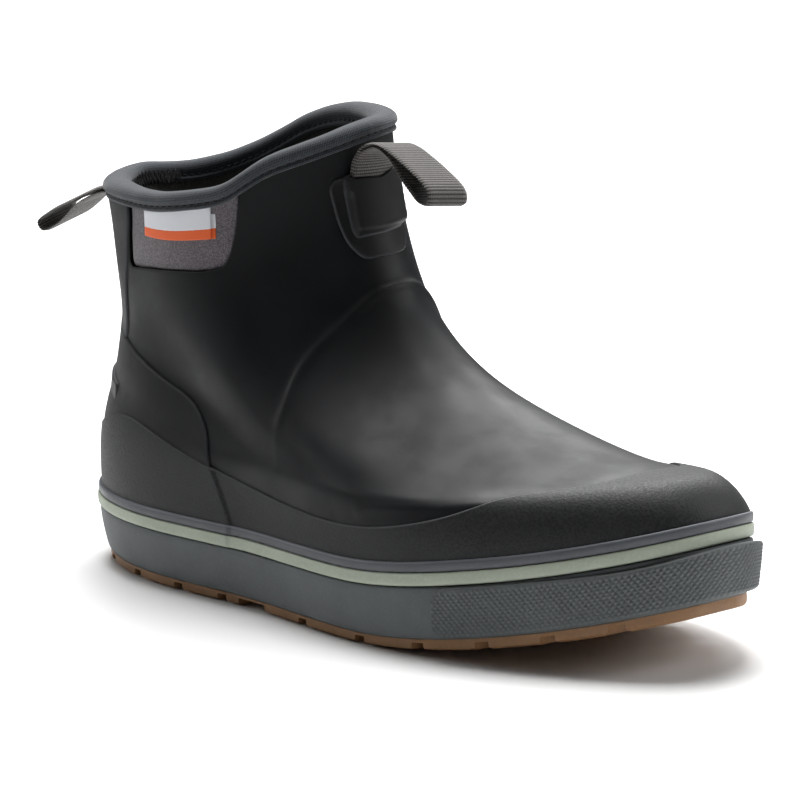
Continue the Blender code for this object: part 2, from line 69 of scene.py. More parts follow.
# One row per ring: heel x, heel z, toe x, toe z, outer dip, inner dip, half widths at heel, waist, ball, toe.
RINGS = np.array(
    [
        (-148.6, 30.3, 145.5, 31.8, 0, 0, 58, 49, 62, 60),
        (-149.4, 47.3, 141.5, 44.3, 3, 3, 58, 49, 62, 59),
        (-148.4, 61.3, 132, 56, 6, 6, 57, 49, 61, 57),
        (-145, 75.3, 112, 61.8, 10, 10, 55, 47, 58.5, 54),
        (-142, 89.3, 71, 72.5, 12, 12, 52, 44, 54, 51),
        (-140, 102.3, 32, 86, 13, 12, 48, 43, 49, 45),
        (-141, 115.3, 3, 107.3, 11, 8, 45, 43, 46, 41),
        (-143.5, 125.3, -11, 134.3, 6, 2, 43, 43, 44, 40),
        (-146, 135.3, -16, 157.3, 3, 0, 42, 43, 43, 40),
        (-149, 145.3, -18, 178.3, 0, 0, 42, 43, 43, 41),
    ],
    float,
)
WIDTH_STATIONS = np.array([0.0, 0.15, 0.40, 0.70, 1.0])
INNER_SIDE_WIDTH = np.array([1.0, 0.98, 0.74, 0.85, 0.95])
BLUNTNESS = 0.8
TOE_SWING = 13.0
RIM_ANGLE = np.array([-180, -146, -131, -113, -95, -75, -45, -20, 0, 22, 37, 51, 62, 75, 90, 120, 150, 180.0])
RIM_HEIGHT = np.array(
    [
        148.3, 149.3, 153.2, 161.2, 171, 176.6, 178, 178.3, 177.3, 172.8, 168.3, 162.3, 154.8, 150.8, 148.3, 147.6,
        147, 148.3,
    ]
)
BINDING_ROLL = 1.8  # the collar edge lies this far below the top of the rolled tape
SOLE_TOP = 30.3
SOLE_GROWTH = 1.5
FOREFOOT_GROWTH = 1.9
TOE_LIFT = 20.4
TOE_LIFT_START = 26.5
TOE_LIFT_LENGTH = 120.0
TOE_LIFT_POWER = 1.85
SKIRT_DROP = 8.2  # the upper goes this far down behind the stripes
WALL_TOP = 21.7
WALL_FOOT = 3.7
OVERLAY_UNDER = -0.2  # depth of an overlay's hidden underside, a little inside the rubber
FULL_TURN = 6.28  # top of the range that wave phases are drawn from

MUDGUARD_TOP = (
    (0, 0.33), (30, 0.292), (45, 0.247), (55, 0.18), (65, 0.135), (78, 0.113), (99, 0.145), (115, 0.212),
    (131, 0.27), (142, 0.235), (155, 0.165), (180, 0.15),
)
COUNTER_FRONT = (104.9, 108.2)  # angle of the heel counter's front edge at v = 0 and at v = 0.2
COUNTER_BULGE = 0.8


def spline_basis(knots, x, flat_ends=False):
    """Cubic spline weights: each row gives the share of every knot's value at one x."""
    knots = np.asarray(knots, float)
    count, h = len(knots), np.diff(knots)
    left, right = np.zeros((count, count)), np.zeros((count, count))
    for i in range(1, count - 1):
        left[i, i - 1 : i + 2] = h[i - 1], 2 * (h[i - 1] + h[i]), h[i]
        right[i, i - 1 : i + 2] = 6 / h[i - 1], -6 / h[i - 1] - 6 / h[i], 6 / h[i]
    if flat_ends:
        left[0, :2], right[0, :2] = (2 * h[0], h[0]), (-6 / h[0], 6 / h[0])
        left[-1, -2:], right[-1, -2:] = (h[-1], 2 * h[-1]), (6 / h[-1], -6 / h[-1])
    else:
        left[0, 0] = left[-1, -1] = 1
    bend = np.linalg.solve(left, right)
    x = np.atleast_1d(np.asarray(x, float))
    k = np.clip(np.searchsorted(knots, x, side="right") - 1, 0, count - 2)
    t = (x - knots[k]) / h[k]
    s = 1 - t
    weights = ((s**3 - s) * h[k] ** 2 / 6)[:, None] * bend[k] + ((t**3 - t) * h[k] ** 2 / 6)[:, None] * bend[k + 1]
    weights[np.arange(len(x)), k] += s
    weights[np.arange(len(x)), k + 1] += t
    return weights


def wrapped(angle):
    return (np.asarray(angle, float) + 180) % 360 - 180


def along(table, angle):
    """The v of an edge at an angle, from its (angle, v) table, the same on both sides."""
    table = np.array(table, float)
    return spline_basis(table[:, 0], np.abs(wrapped(angle)), flat_ends=True) @ table[:, 1]


def smooth_step(t):
    t = np.clip(t, 0, 1)
    return t * t * (3 - 2 * t)


def toe_lift(x):
    return TOE_LIFT * (np.clip(x - TOE_LIFT_START, 0, None) / TOE_LIFT_LENGTH) ** TOE_LIFT_POWER


def front_share(angle):
    """0 at the heel, 1 at the toe."""
    return (1 + np.cos(np.radians(angle))) / 2


def forefoot(front):
    """0 behind the arch and 1 from the ball of the foot to the toe."""
    return smooth_step((front - 0.55) / 0.25)


def stack_scale(front):
    """How much thicker the sole is than at the heel."""
    return 1 + (SOLE_GROWTH * front + FOREFOOT_GROWTH * forefoot(front)) / SOLE_TOP


def rim_height(angle):
    knots = np.concatenate([RIM_ANGLE[-4:-1] - 360, RIM_ANGLE, RIM_ANGLE[1:4] + 360])
    heights = np.concatenate([RIM_HEIGHT[-4:-1], RIM_HEIGHT, RIM_HEIGHT[1:4]])
    return spline_basis(knots, wrapped(angle)) @ heights - BINDING_ROLL


def surface(angle, v):
    """Points of the boot surface, N x 3. Below v = 0 the surface drops straight down."""
    angle, v = np.broadcast_arrays(np.atleast_1d(angle).astype(float), np.atleast_1d(v).astype(float))
    up = np.clip(v, 0, None)
    ring = spline_basis(np.linspace(0, 1, len(RINGS)), up) @ RINGS
    theta = np.radians(angle)
    front = front_share(angle)
    side = np.sin(theta)
    side = np.sign(side) * np.abs(side) ** (BLUNTNESS + (1 - BLUNTNESS) * smooth_step(up / 0.5))
    shares = spline_basis(WIDTH_STATIONS, front, flat_ends=True)
    width = (shares * ring[:, [6, 6, 7, 8, 9]]).sum(1)
    inner = 1 - (1 - shares @ INNER_SIDE_WIDTH) * np.clip(1 - 1.3 * up, 0, 1)
    width = np.where(side < 0, width * inner, width)
    x = ring[:, 0] + (ring[:, 2] - ring[:, 0]) * front
    y = TOE_SWING * smooth_step((front - 0.45) / 0.55) * (1 - up) - width * side
    sole_top = ring[:, 1] + (ring[:, 3] - ring[:, 1]) * front
    straight = sole_top + FOREFOOT_GROWTH * forefoot(front) * np.clip(1 - 2.2 * up, 0, 1)
    dip = np.where(side > 0, ring[:, 4], ring[:, 5]) * np.sin(theta) ** 2
    collar = RINGS[-1, 1] + (RINGS[-1, 3] - RINGS[-1, 1]) * front
    near_rim = smooth_step((up - 0.55) / 0.45)
    z = straight - dip + near_rim * (rim_height(angle) - collar) + toe_lift(x) * np.clip(1 - 2.2 * up, 0, 1)
    return np.stack([x, y, z + np.clip(v, -1, 0) * SKIRT_DROP * stack_scale(front)], axis=1)


def normal(angle, v):
    step = 0.004
    across = surface(np.add(angle, 0.3), v) - surface(np.subtract(angle, 0.3), v)
    up = surface(angle, np.clip(v, 0, 1 - step) + step) - surface(angle, np.clip(v, step, 1) - step)
    up[np.broadcast_to(v, len(up)) < 0] = (0, 0, 1)
    out = np.cross(up, across)
    return out / np.linalg.norm(out, axis=1)[:, None]


def off_upper(angle, v, depth):
    """Points of the upper, moved along its normals by a depth."""
    angle, v, depth = np.broadcast_arrays(np.atleast_1d(angle).astype(float), v, depth)
    return surface(angle, v) + normal(angle, v) * depth[:, None]


def off_sole(angle, level, out):
    """Points round the sole at a level of its stack, moved outward in plan."""
    angle, level, out = np.broadcast_arrays(np.atleast_1d(angle).astype(float), level, out)
    edge = surface(angle, 0.0)
    tangent = surface(angle + 0.3, 0.0) - surface(angle - 0.3, 0.0)
    flat = np.stack([-tangent[:, 1], tangent[:, 0]], axis=1)
    flat /= np.linalg.norm(flat, axis=1)[:, None]
    flat *= np.sign((flat * (edge[:, :2] + [10, 0])).sum(1))[:, None]
    edge[:, :2] += flat * out[:, None]
    edge[:, 2] = toe_lift(edge[:, 0]) + level * stack_scale(front_share(angle))
    return edge


def wall_out(angle, level):
    """How far the sidewall stands off the upper's foot line. It draws in towards the tread, most at the heel."""
    taper = 3.4 - 2.0 * front_share(angle)
    return 2.2 - taper * np.clip((WALL_TOP - level) / 17.5, 0, 1.2) ** 1.6


def bulge(angle, v=0.0):
    """The extra thickness behind the heel counter's front edge, which shows through what covers it."""
    front = COUNTER_FRONT[0] + (COUNTER_FRONT[1] - COUNTER_FRONT[0]) * np.clip(np.divide(v, 0.2), -0.2, 1)
    return COUNTER_BULGE * smooth_step((np.abs(wrapped(angle)) - front + 0.35) / 0.9)


# ---------------------------------------------------------------- meshes


def place(points):
    return (np.asarray(points, float) + SHIFT) * MM


def make(name, points, faces, material, lay=None, edge=None, sharp=40):
    """A mesh object from points in millimetres, with its faces turned outward and loose points removed.

    lay holds each point's place along and across the piece in millimetres, and edge is 1 on edges that get a painted
    highlight.
    """
    mesh = bpy.data.meshes.new(name)
    mesh.from_pydata(place(points).tolist(), [], [list(map(int, face)) for face in faces])
    if lay is not None:
        values = np.zeros((len(points), 3), np.float32)
        values[:, :2] = lay
        mesh.attributes.new("lay", "FLOAT_VECTOR", "POINT").data.foreach_set("vector", values.ravel())
    if edge is not None:
        values = np.broadcast_to(edge, len(points)).astype(np.float32)
        mesh.attributes.new("edge", "FLOAT", "POINT").data.foreach_set("value", values)
    tidy = bmesh.new()
    tidy.from_mesh(mesh)
    bmesh.ops.delete(tidy, geom=[vert for vert in tidy.verts if not vert.link_faces], context="VERTS")
    bmesh.ops.remove_doubles(tidy, verts=tidy.verts, dist=1e-6)
    bmesh.ops.recalc_face_normals(tidy, faces=tidy.faces)
    tidy.to_mesh(mesh)
    tidy.free()
    mesh.shade_smooth()
    mesh.set_sharp_from_angle(angle=math.radians(sharp))
    mesh.materials.append(material)
    obj = bpy.data.objects.new(name, mesh)
    bpy.context.scene.collection.objects.link(obj)
    return obj


def flat_row(along_piece, across_piece):
    """One row of plane points or lay values: their places along a piece and across it."""
    return np.column_stack(np.broadcast_arrays(along_piece, across_piece))


def finish_piece(obj, body, slot, *nodes):
    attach(obj, body)
    if nodes:
        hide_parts(*nodes)
    return obj


def run_length(points):
    """Length along a line of points, one value per point."""
    return np.concatenate([[0], np.cumsum(np.linalg.norm(np.diff(points, axis=0), axis=1))])


HALF_ANGLES = np.linspace(0, 180, 1801)
HALF_RUN = run_length(surface(HALF_ANGLES, 0.25))
HALF_LENGTH = HALF_RUN[-1]


def run_of(angle):
    """Length round the boot from the toe to an angle, for spacing points evenly. It goes on past the heel."""
    angle = np.asarray(angle, float)
    run = np.interp(np.abs(angle), HALF_ANGLES, HALF_RUN)
    past = np.interp(360 - np.abs(angle), HALF_ANGLES, HALF_RUN)
    return np.sign(angle) * np.where(np.abs(angle) > 180, 2 * HALF_LENGTH - past, run)


def angle_of(run):
    run = np.asarray(run, float)
    size = np.abs(run)
    before = np.interp(size, HALF_RUN, HALF_ANGLES)
    after = 360 - np.interp(2 * HALF_LENGTH - size, HALF_RUN, HALF_ANGLES)
    return np.sign(run) * np.where(size > HALF_LENGTH, after, before)


def even_angles(low, high, spacing):
    """Angles from low to high, evenly spaced along the boot."""
    low, high = run_of(low), run_of(high)
    return angle_of(np.linspace(low, high, max(2, round(float(high - low) / spacing) + 1)))


def all_round(spacing, kinks=False):
    """Angles once round the boot, without the last that meets the first. Kinks sets them closer at the bulge."""
    angle = even_angles(0, 360, spacing)[:-1]
    if not kinks:
        return angle
    fine = np.arange(COUNTER_FRONT[0] - 2.0, COUNTER_FRONT[1] + 2.0, 0.18)
    far = [a for a in angle if min(abs(abs(wrapped(a)) - fine)) > 0.2]
    return np.sort(np.concatenate([far, fine, 360 - fine]))


def sweep(name, loops, material, lay, edge=None, closed_ring=True, sharp=40):
    """A closed body from lines of points that run side by side round a section. Each has its row of lay values."""
    loops = np.asarray(loops, float)
    count, size = loops.shape[:2]
    first = np.arange(count)[:, None] * size
    following = np.roll(np.arange(count), -1)[:, None] * size
    i = np.arange(size if closed_ring else size - 1)[None]
    j = (i + 1) % size
    faces = np.stack([first + i, first + j, following + j, following + i], axis=-1).reshape(-1, 4).tolist()
    if not closed_ring:
        faces.append([k * size for k in range(count)])
        faces.append([k * size + size - 1 for k in reversed(range(count))])
    edge = None if edge is None else np.ravel(edge)
    return make(name, loops.reshape(-1, 3), faces, material, np.reshape(lay, (-1, 2)), edge, sharp)


def distances(points, line, closed=True):
    """Distance from each point to a line of points, in as many dimensions as they have."""
    ends = np.roll(line, -1, axis=0) if closed else line[1:]
    starts = line if closed else line[:-1]
    best = np.full(len(points), np.inf)
    for start, end in zip(starts, ends):
        step = end - start
        t = np.clip((points - start) @ step / max(step @ step, 1e-12), 0, 1)
        gap = ((points - start - t[:, None] * step) ** 2).sum(1)
        best = np.minimum(best, gap)
    return np.sqrt(best)


def inside_of(points, line):
    """Whether points of a plane are inside a closed line."""
    found = np.zeros(len(points), bool)
    for (x0, y0), (x1, y1) in zip(line, np.roll(line, -1, axis=0)):
        if y0 == y1:
            continue
        crosses = (points[:, 1] < max(y0, y1)) & (points[:, 1] >= min(y0, y1))
        found ^= crosses & (points[:, 0] < x0 + (points[:, 1] - y0) / (y1 - y0) * (x1 - x0))
    return found


V_SCALE = 150.0  # plane units for one v, about the height of the upper in millimetres


def to_plane(line):
    line = np.asarray(line, float)
    return np.column_stack([run_of(line[:, 0]), line[:, 1] * V_SCALE])


def rounded(line, radius, closed=True):
    """A plane line with every corner turned into an arc of about that radius, or less where the sides are short."""
    line = np.asarray(line, float)
    count = len(line)
    out = []
    for k in range(count):
        if not closed and k in (0, count - 1):
            out.append(line[k])
            continue
        before, here, after = line[k - 1], line[k], line[(k + 1) % count]
        a, b = before - here, after - here
        la, lb = np.linalg.norm(a), np.linalg.norm(b)
        r = radius[k] if np.ndim(radius) else radius
        cut = min(r, 0.45 * la, 0.45 * lb)
        if cut < 0.05:
            out.append(here)
            continue
        p, q = here + a / la * cut, here + b / lb * cut
        for t in np.linspace(0, 1, 7):
            out.append((1 - t) ** 2 * p + 2 * t * (1 - t) * here + t * t * q)
    return np.array(out)


def resampled(line, spacing, closed=True):
    """A plane line with points at even steps, keeping its sharp corners."""
    out = []
    ends = np.roll(line, -1, axis=0) if closed else line[1:]
    for start, end in zip(line, ends):
        steps = max(1, int(np.linalg.norm(end - start) / spacing))
        out += [start + (end - start) * t / steps for t in range(steps)]
    if not closed:
        out.append(line[-1])
    keep = [out[0]]
    for point in out[1:]:
        if np.linalg.norm(point - keep[-1]) > 0.3 * spacing:
            keep.append(point)
    return np.array(keep)


def inset_rings(line, steps):
    """Points beside a closed plane line, at set distances on its inner side."""
    ahead = np.roll(line, -1, axis=0) - np.roll(line, 1, axis=0)
    ahead /= np.linalg.norm(ahead, axis=1)[:, None] + 1e-9
    area = np.cross(line, np.roll(line, -1, axis=0)).sum()
    inward = np.stack([-ahead[:, 1], ahead[:, 0]], axis=1) * np.sign(area)
    rings = []
    for step in steps:
        ring = line + inward * step
        gap = distances(ring, line)
        rings.append(ring[(gap > 0.85 * step) & inside_of(ring, line)])
    return np.concatenate(rings) if rings else np.zeros((0, 2))


def hex_points(line, spacing, margin):
    """Even points inside a closed plane line, in staggered rows."""
    low, high = line.min(0), line.max(0)
    rows = np.arange(low[1], high[1], spacing * 0.866)
    points = []
    for k, y in enumerate(rows):
        x = np.arange(low[0] + (k % 2) * spacing / 2, high[0], spacing)
        points.append(flat_row(x, y))
    points = np.concatenate(points)
    points = points[inside_of(points, line)]
    return points[distances(points, line) > margin]


def triangulated(line, extra):
    """Points and triangles that fill a closed plane line."""
    points = [Vector(p) for p in np.concatenate([line, extra]).tolist()]
    sides = [(k, (k + 1) % len(line)) for k in range(len(line))]
    found = delaunay_2d_cdt(points, sides, [], 0, 1e-7, False)
    flat = np.array([p[:] for p in found[0]])
    faces = np.array([list(face) for face in found[2]])
    kept = faces[inside_of(flat[faces].mean(1), line)]
    return flat, kept.tolist()


INSET_STEPS = (0.25, 0.6, 1.1, 1.8, 2.8)  # distances of a patch's rings of points from its outline


def closed_from(top, bottom, faces):
    """Points and faces of a body between two copies of a sheet."""
    count = len(top)
    edges = {}
    for face in faces:
        for a, b in zip(face, face[1:] + face[:1]):
            edges[a, b] = True
    walls = [[b, a, count + a, count + b] for a, b in edges if (b, a) not in edges]
    under = [[count + k for k in reversed(face)] for face in faces]
    return np.concatenate([top, bottom]), faces + under + walls


def patch(name, line, outer, under, material, spacing, rings=INSET_STEPS):
    """An overlay on the upper. The line is its outline in (angle, v) plane points, and outer gives its depth
    from the distance to the outline, the angle and v."""
    line = resampled(line, min(1.0, spacing))
    extra = np.concatenate([inset_rings(line, rings), hex_points(line, spacing, rings[-1] + 0.4 * spacing)])
    flat, faces = triangulated(line, extra)
    angle, v = angle_of(flat[:, 0]), flat[:, 1] / V_SCALE
    rim = surface(angle_of(line[:, 0]), line[:, 1] / V_SCALE)
    gap = distances(surface(angle, v), rim)
    top = off_upper(angle, v, outer(gap, angle, v))
    bottom = off_upper(angle, v, np.full(len(flat), under))
    points, faces = closed_from(top, bottom, faces)
    lay = np.tile(flat, (2, 1))
    # painted highlight: a bright band just inside the overlay's outline, carried by the edge attribute
    edge = np.tile(np.exp(-(((gap - 0.35) / 0.45) ** 2)), 2)
    return make(name, points, faces, material, lay, edge)


def quarter_round(gap, height, radius):
    """Depth of an edge that rises over a radius to its height."""
    t = np.clip(gap / radius, 0, 1)
    return height * np.sqrt(np.clip(1 - (1 - t) ** 2, 0, 1))


# ---------------------------------------------------------------- materials


class Shader:
    """One material's node tree, with short calls to add nodes to it."""

    def __init__(self, name, roughness, **inputs):
        self.material = bpy.data.materials.new(name)
        self.material.use_nodes = True
        self.tree = self.material.node_tree
        self.base = self.tree.nodes["Principled BSDF"]
        self.base.inputs["Roughness"].default_value = roughness
        for key, value in inputs.items():
            self.base.inputs[key.replace("_", " ")].default_value = value

    def add(self, kind, settings=None, **inputs):
        node = self.tree.nodes.new("ShaderNode" + kind)
        for key, value in (settings or {}).items():
            setattr(node, key, value)
        for key, value in inputs.items():
            socket = node.inputs[int(key[1:])] if key[0] == "i" and key[1:].isdigit() else node.inputs[key]
            if isinstance(value, bpy.types.NodeSocket):
                self.tree.links.new(value, socket)
            else:
                socket.default_value = value
        return node

    def link(self, output, name):
        self.tree.links.new(output, self.base.inputs[name])

    def place(self):
        return self.add("TexCoord").outputs["Object"]

    def attribute(self, name, output="Vector"):
        return self.add("Attribute", {"attribute_name": name}).outputs[output]

    def noise(self, where, scale, detail=3.0, roughness=0.55):
        return self.add("TexNoise", Vector=where, Scale=scale, Detail=detail, Roughness=roughness).outputs[0]

    def math(self, operation, a, b=0.0, c=0.0):
        return self.add("Math", {"operation": operation}, i0=a, i1=b, i2=c).outputs[0]

    def range(self, value, low, high, to_low=0.0, to_high=1.0):
        settings = {"clamp": True, "interpolation_type": "SMOOTHSTEP"}
        made = self.add("MapRange", settings, i0=value, i1=low, i2=high, i3=to_low, i4=to_high)
        return made.outputs[0]

    def mix(self, share, first, second):
        made = self.add("Mix", {"data_type": "RGBA"}, i0=share)
        for socket, value in ((made.inputs[6], first), (made.inputs[7], second)):
            if isinstance(value, bpy.types.NodeSocket):
                self.tree.links.new(value, socket)
            else:
                socket.default_value = (*value, 1)
        return made.outputs[2]

    def bump(self, height, strength, distance_mm, before=None):
        made = self.add("Bump", Height=height, Strength=strength, Distance=distance_mm * MM)
        if before is not None:
            self.tree.links.new(before, made.inputs["Normal"])
        return made.outputs[0]


def shade(colour, factor):
    return tuple(min(1.0, c * factor) for c in colour)


def rubber(name, colour, roughness, grain_mm, grain_strength, edge_highlight=1.6, spread=0.16, shine=0.5):
    """Moulded rubber: cloudy colour, uneven polish, a fine grain, and a painted highlight that lightens its edges."""
    s = Shader(name, roughness, Specular_IOR_Level=shine)
    where = s.place()
    cloud = s.noise(where, 38, 4)
    fleck = s.noise(where, 900, 2)
    body = s.mix(s.range(cloud, 0.3, 0.7), shade(colour, 1 - spread), shade(colour, 1 + spread))
    body = s.mix(s.range(fleck, 0.45, 0.75, 0, 0.35), body, shade(colour, 1.35))
    # painted highlight: the edge attribute lightens the colour along edges by the edge factor
    edge = s.math("MULTIPLY", s.attribute("edge", "Fac"), 0.7)
    s.link(s.mix(edge, body, shade(colour, edge_highlight)), "Base Color")
    s.link(s.range(s.noise(where, 55, 5), 0.25, 0.75, roughness - 0.07, roughness + 0.07), "Roughness")
    grain = s.noise(where, 1000 / grain_mm, 2)
    soft = s.bump(s.noise(where, 160, 3), 0.06, 0.5)
    s.link(s.bump(grain, grain_strength, 0.12, soft), "Normal")
    return s.material


def pebbled(name, colour, roughness):
    """Rubber with a pressed pebble texture, painted highlights on the raised pebble pattern and a painted highlight
    along its edges.
    """
    s = Shader(name, roughness, Specular_IOR_Level=0.28)
    where = s.place()
    cells = s.add("TexVoronoi", {"feature": "SMOOTH_F1"}, Vector=where, Scale=1150.0, Smoothness=0.6)
    pebble = s.math("ADD", cells.outputs["Distance"], s.math("MULTIPLY", s.noise(where, 2200, 2), 0.5))
    cloud = s.noise(where, 30, 4)
    body = s.mix(s.range(cloud, 0.3, 0.7), shade(colour, 0.85), shade(colour, 1.2))
    # painted highlight: lighter colour where the pebble pattern is high, standing in for glints
    body = s.mix(s.range(pebble, 0.3, 1.0, 0, 0.7), body, shade(colour, 2.6))
    # painted highlight along the edges, from the edge attribute
    edge = s.math("MULTIPLY", s.attribute("edge", "Fac"), 0.8)
    s.link(s.mix(edge, body, shade(colour, 6.5)), "Base Color")
    s.link(s.range(pebble, 0.2, 1.0, roughness - 0.1, roughness + 0.08), "Roughness")
    s.link(s.bump(pebble, 0.5, 0.14), "Normal")
    return s.material


def cloth(name, colour, light, grain_mm, sheen=0.25, strength=0.5):
    """Knitted or brushed cloth: speckled colour, a stitch-sized grain and soft sheen."""
    s = Shader(name, 0.92, Sheen_Weight=sheen, Sheen_Roughness=0.6, Specular_IOR_Level=0.25)
    where = s.place()
    fine = s.noise(where, 1000 / grain_mm, 2, 0.7)
    broad = s.noise(where, 60, 4)
    body = s.mix(s.range(fine, 0.38, 0.66), shade(colour, 0.72), light)
    body = s.mix(s.range(broad, 0.35, 0.7, 0, 0.25), body, shade(colour, 0.8))
    s.link(body, "Base Color")
    knit = s.add("TexVoronoi", {"feature": "F1"}, Vector=where, Scale=1000 / grain_mm)
    height = s.math("ADD", fine, s.math("MULTIPLY", knit.outputs["Distance"], 0.8))
    s.link(s.bump(height, strength, 0.2), "Normal")
    return s.material


def woven(name, colour, light, along_mm, across_mm, strength=0.5, sheen=0.2, roughness=0.85, gap=0.0):
    """Woven tape whose ribs follow the piece: crossed waves over the lay attribute. Gap sets the painted shade in the
    valleys between ribs.
    """
    s = Shader(name, roughness, Sheen_Weight=sheen, Sheen_Roughness=0.5, Specular_IOR_Level=0.3)
    parts = s.add("SeparateXYZ", Vector=s.attribute("lay")).outputs
    rib = s.math("SINE", s.math("MULTIPLY_ADD", parts[0], 2 * math.pi / along_mm, -math.pi / 2))
    yarn = s.math("SINE", s.math("MULTIPLY", parts[1], 2 * math.pi / across_mm))
    weave = s.math("MULTIPLY_ADD", rib, 0.3, s.math("MULTIPLY_ADD", yarn, 0.2, 0.5))
    where = s.place()
    fuzz = s.noise(where, 1500, 3)
    body = s.mix(s.range(s.math("ADD", weave, fuzz), 0.6, 1.5), shade(colour, 0.7), light)
    body = s.mix(s.range(s.noise(where, 90, 3), 0.35, 0.7, 0, 0.3), body, shade(colour, 1.15))
    # painted shade: darkens the valleys between ribs, as far as gap sets
    body = s.mix(s.range(rib, -1, -0.35, gap, 0), body, shade(colour, 0.3))
    s.link(body, "Base Color")
    s.link(s.bump(s.math("ADD", weave, s.math("MULTIPLY", fuzz, 0.4)), strength, 0.18), "Normal")
    return s.material


def label_cloth(name, white, orange, stripe_top):
    """Satin-woven label, white above a stripe. The lay attribute's second value is the height over its foot."""
    s = Shader(name, 0.7, Sheen_Weight=0.2, Specular_IOR_Level=0.35)
    parts = s.add("SeparateXYZ", Vector=s.attribute("lay")).outputs
    where = s.place()
    warp = s.math("SINE", s.math("MULTIPLY", parts[0], 2 * math.pi / 0.34))
    weft = s.math("SINE", s.math("MULTIPLY", parts[1], 2 * math.pi / 0.42))
    weave = s.math("MULTIPLY", warp, weft)
    fuzz = s.noise(where, 1800, 2)
    stripe = s.range(s.math("MULTIPLY_ADD", fuzz, 0.25, parts[1]), stripe_top + 0.05, stripe_top + 0.25)
    body = s.mix(stripe, orange, white)
    s.link(s.mix(s.range(weave, 0.1, 1.0, 0, 0.3), body, shade(white, 0.55)), "Base Color")
    s.link(s.bump(s.math("MULTIPLY_ADD", fuzz, 0.5, weave), 0.4, 0.08), "Normal")
    return s.material


def make_materials():
    return {
        # Each rubber's edge factor sets how far its painted edge highlight lightens it; the counter's is the
        # strongest.
        "upper": rubber("satin_rubber", (0.0052, 0.0060, 0.0073), 0.5, 0.45, 0.10, shine=0.22),
        "counter": rubber("counter_rubber", (0.0075, 0.0080, 0.0088), 0.54, 0.4, 0.22, edge_highlight=8, shine=0.24),
        "mudguard": pebbled("pebbled_rubber", (0.0098, 0.0103, 0.0110), 0.55),
        "wall": rubber("sidewall_rubber", (0.088, 0.098, 0.102), 0.62, 0.5, 0.12, edge_highlight=1.3, spread=0.10),
        "bumper": rubber("bumper_rubber", (0.070, 0.078, 0.080), 0.6, 0.35, 0.2, edge_highlight=2.1, spread=0.10),
        "dark": rubber("dark_stripe", (0.072, 0.077, 0.087), 0.5, 0.5, 0.08, edge_highlight=2.0, spread=0.08),
        "pale": rubber("pale_stripe", (0.365, 0.405, 0.325), 0.55, 0.5, 0.1, edge_highlight=1.1, spread=0.05),
        "gum": rubber("gum_rubber", (0.240, 0.124, 0.052), 0.6, 0.6, 0.15, edge_highlight=1.15, spread=0.12),
        "foam": rubber("foam", (0.14, 0.14, 0.14), 0.9, 0.7, 0.3, edge_highlight=1.0),
        "board": cloth("fibre_board", (0.40, 0.33, 0.22), (0.46, 0.38, 0.26), 0.8, 0.0),
        "neoprene": cloth("neoprene", (0.105, 0.094, 0.108), (0.205, 0.185, 0.200), 0.55),
        "lining": cloth("lining_cloth", (0.066, 0.069, 0.058), (0.100, 0.104, 0.090), 0.6, 0.35, 0.35),
        "cover": cloth("footbed_cover", (0.045, 0.046, 0.046), (0.080, 0.082, 0.082), 0.7, 0.3, 0.4),
        "binding": woven("binding_tape", (0.026, 0.030, 0.036), (0.074, 0.083, 0.095), 0.62, 0.9, 0.45),
        # the webbing's rib valleys get painted shade (gap=0.95)
        "webbing": woven(
            "webbing", (0.064, 0.059, 0.055), (0.170, 0.158, 0.148), RIB_PITCH, 0.8, 0.5, roughness=0.8, gap=0.95
        ),
        "thread": woven("black_thread", (0.008, 0.008, 0.009), (0.02, 0.02, 0.022), 0.5, 0.5, 0.3, roughness=0.7),
        "label": label_cloth("woven_label", (0.86, 0.88, 0.93), (0.95, 0.13, 0.004), 3.0),
    }


# ---------------------------------------------------------------- the upper

PANEL_EDGE = (
    (111.5, 1.0), (113.0, 0.93), (115.5, 0.88), (118.3, 0.79), (117.0, 0.776), (102, 0.800), (89, 0.812),
    (73.5, 0.815), (66.5, 0.826), (63, 0.87), (60.5, 0.92), (58.0, 1.0),
)
PANEL_ROUND = (0.1, 6, 6, 2, 2, 6, 6, 6, 6, 6, 6, 0.1)
FLEX_CREASE = ((50, 0.215), (58, 0.199), (65, 0.198), (71, 0.186), (74, 0.165))
SKIN_FOOT = -0.06  # v of the rubber skin's lower edge
SKIN_WALL = 3.2
INSTEP_SEAM = ((0, 0.716), (16, 0.71), (34.5, 0.677), (54.5, 0.615), (66.5, 0.542), (80, 0.44), (92, 0.27), (99, 0.15))


def panel_line():
    return rounded(to_plane(PANEL_EDGE), PANEL_ROUND, closed=False)


def seam_line(count=90):
    table = np.array(INSTEP_SEAM, float)
    angle = np.linspace(0, table[-1, 0], count)
    return np.column_stack([angle, spline_basis(table[:, 0], angle, flat_ends=True) @ table[:, 1]])


def skin_depth(angle, v, points):
    """How far the rubber stands off the surface: the instep seam, flex lines and the panel's rounded edge."""
    seam = seam_line()
    gap = distances(points, surface(seam[:, 0], seam[:, 1]), closed=False)
    fade = 0.12 + 0.88 * (1 - smooth_step((angle - 52) / 34))
    above = v > np.interp(angle, seam[:, 0], seam[:, 1])
    ridge = 0.9 * np.exp(-((gap / 1.9) ** 2)) + np.where(above, -1, 1) * 0.3 * np.tanh(gap / 2) * np.exp(-gap / 9)
    depth = ridge * fade
    crease = np.array(FLEX_CREASE)
    gap = distances(points, surface(crease[:, 0], crease[:, 1]), closed=False)
    depth += 0.35 * np.exp(-((gap / 1.6) ** 2))
    line = resampled(panel_line(), 1.0, closed=False)
    gap = distances(points, surface(angle_of(line[:, 0]), line[:, 1] / V_SCALE), closed=False)
    return depth - 0.45 * (1 - quarter_round(gap, 1.0, 0.9))


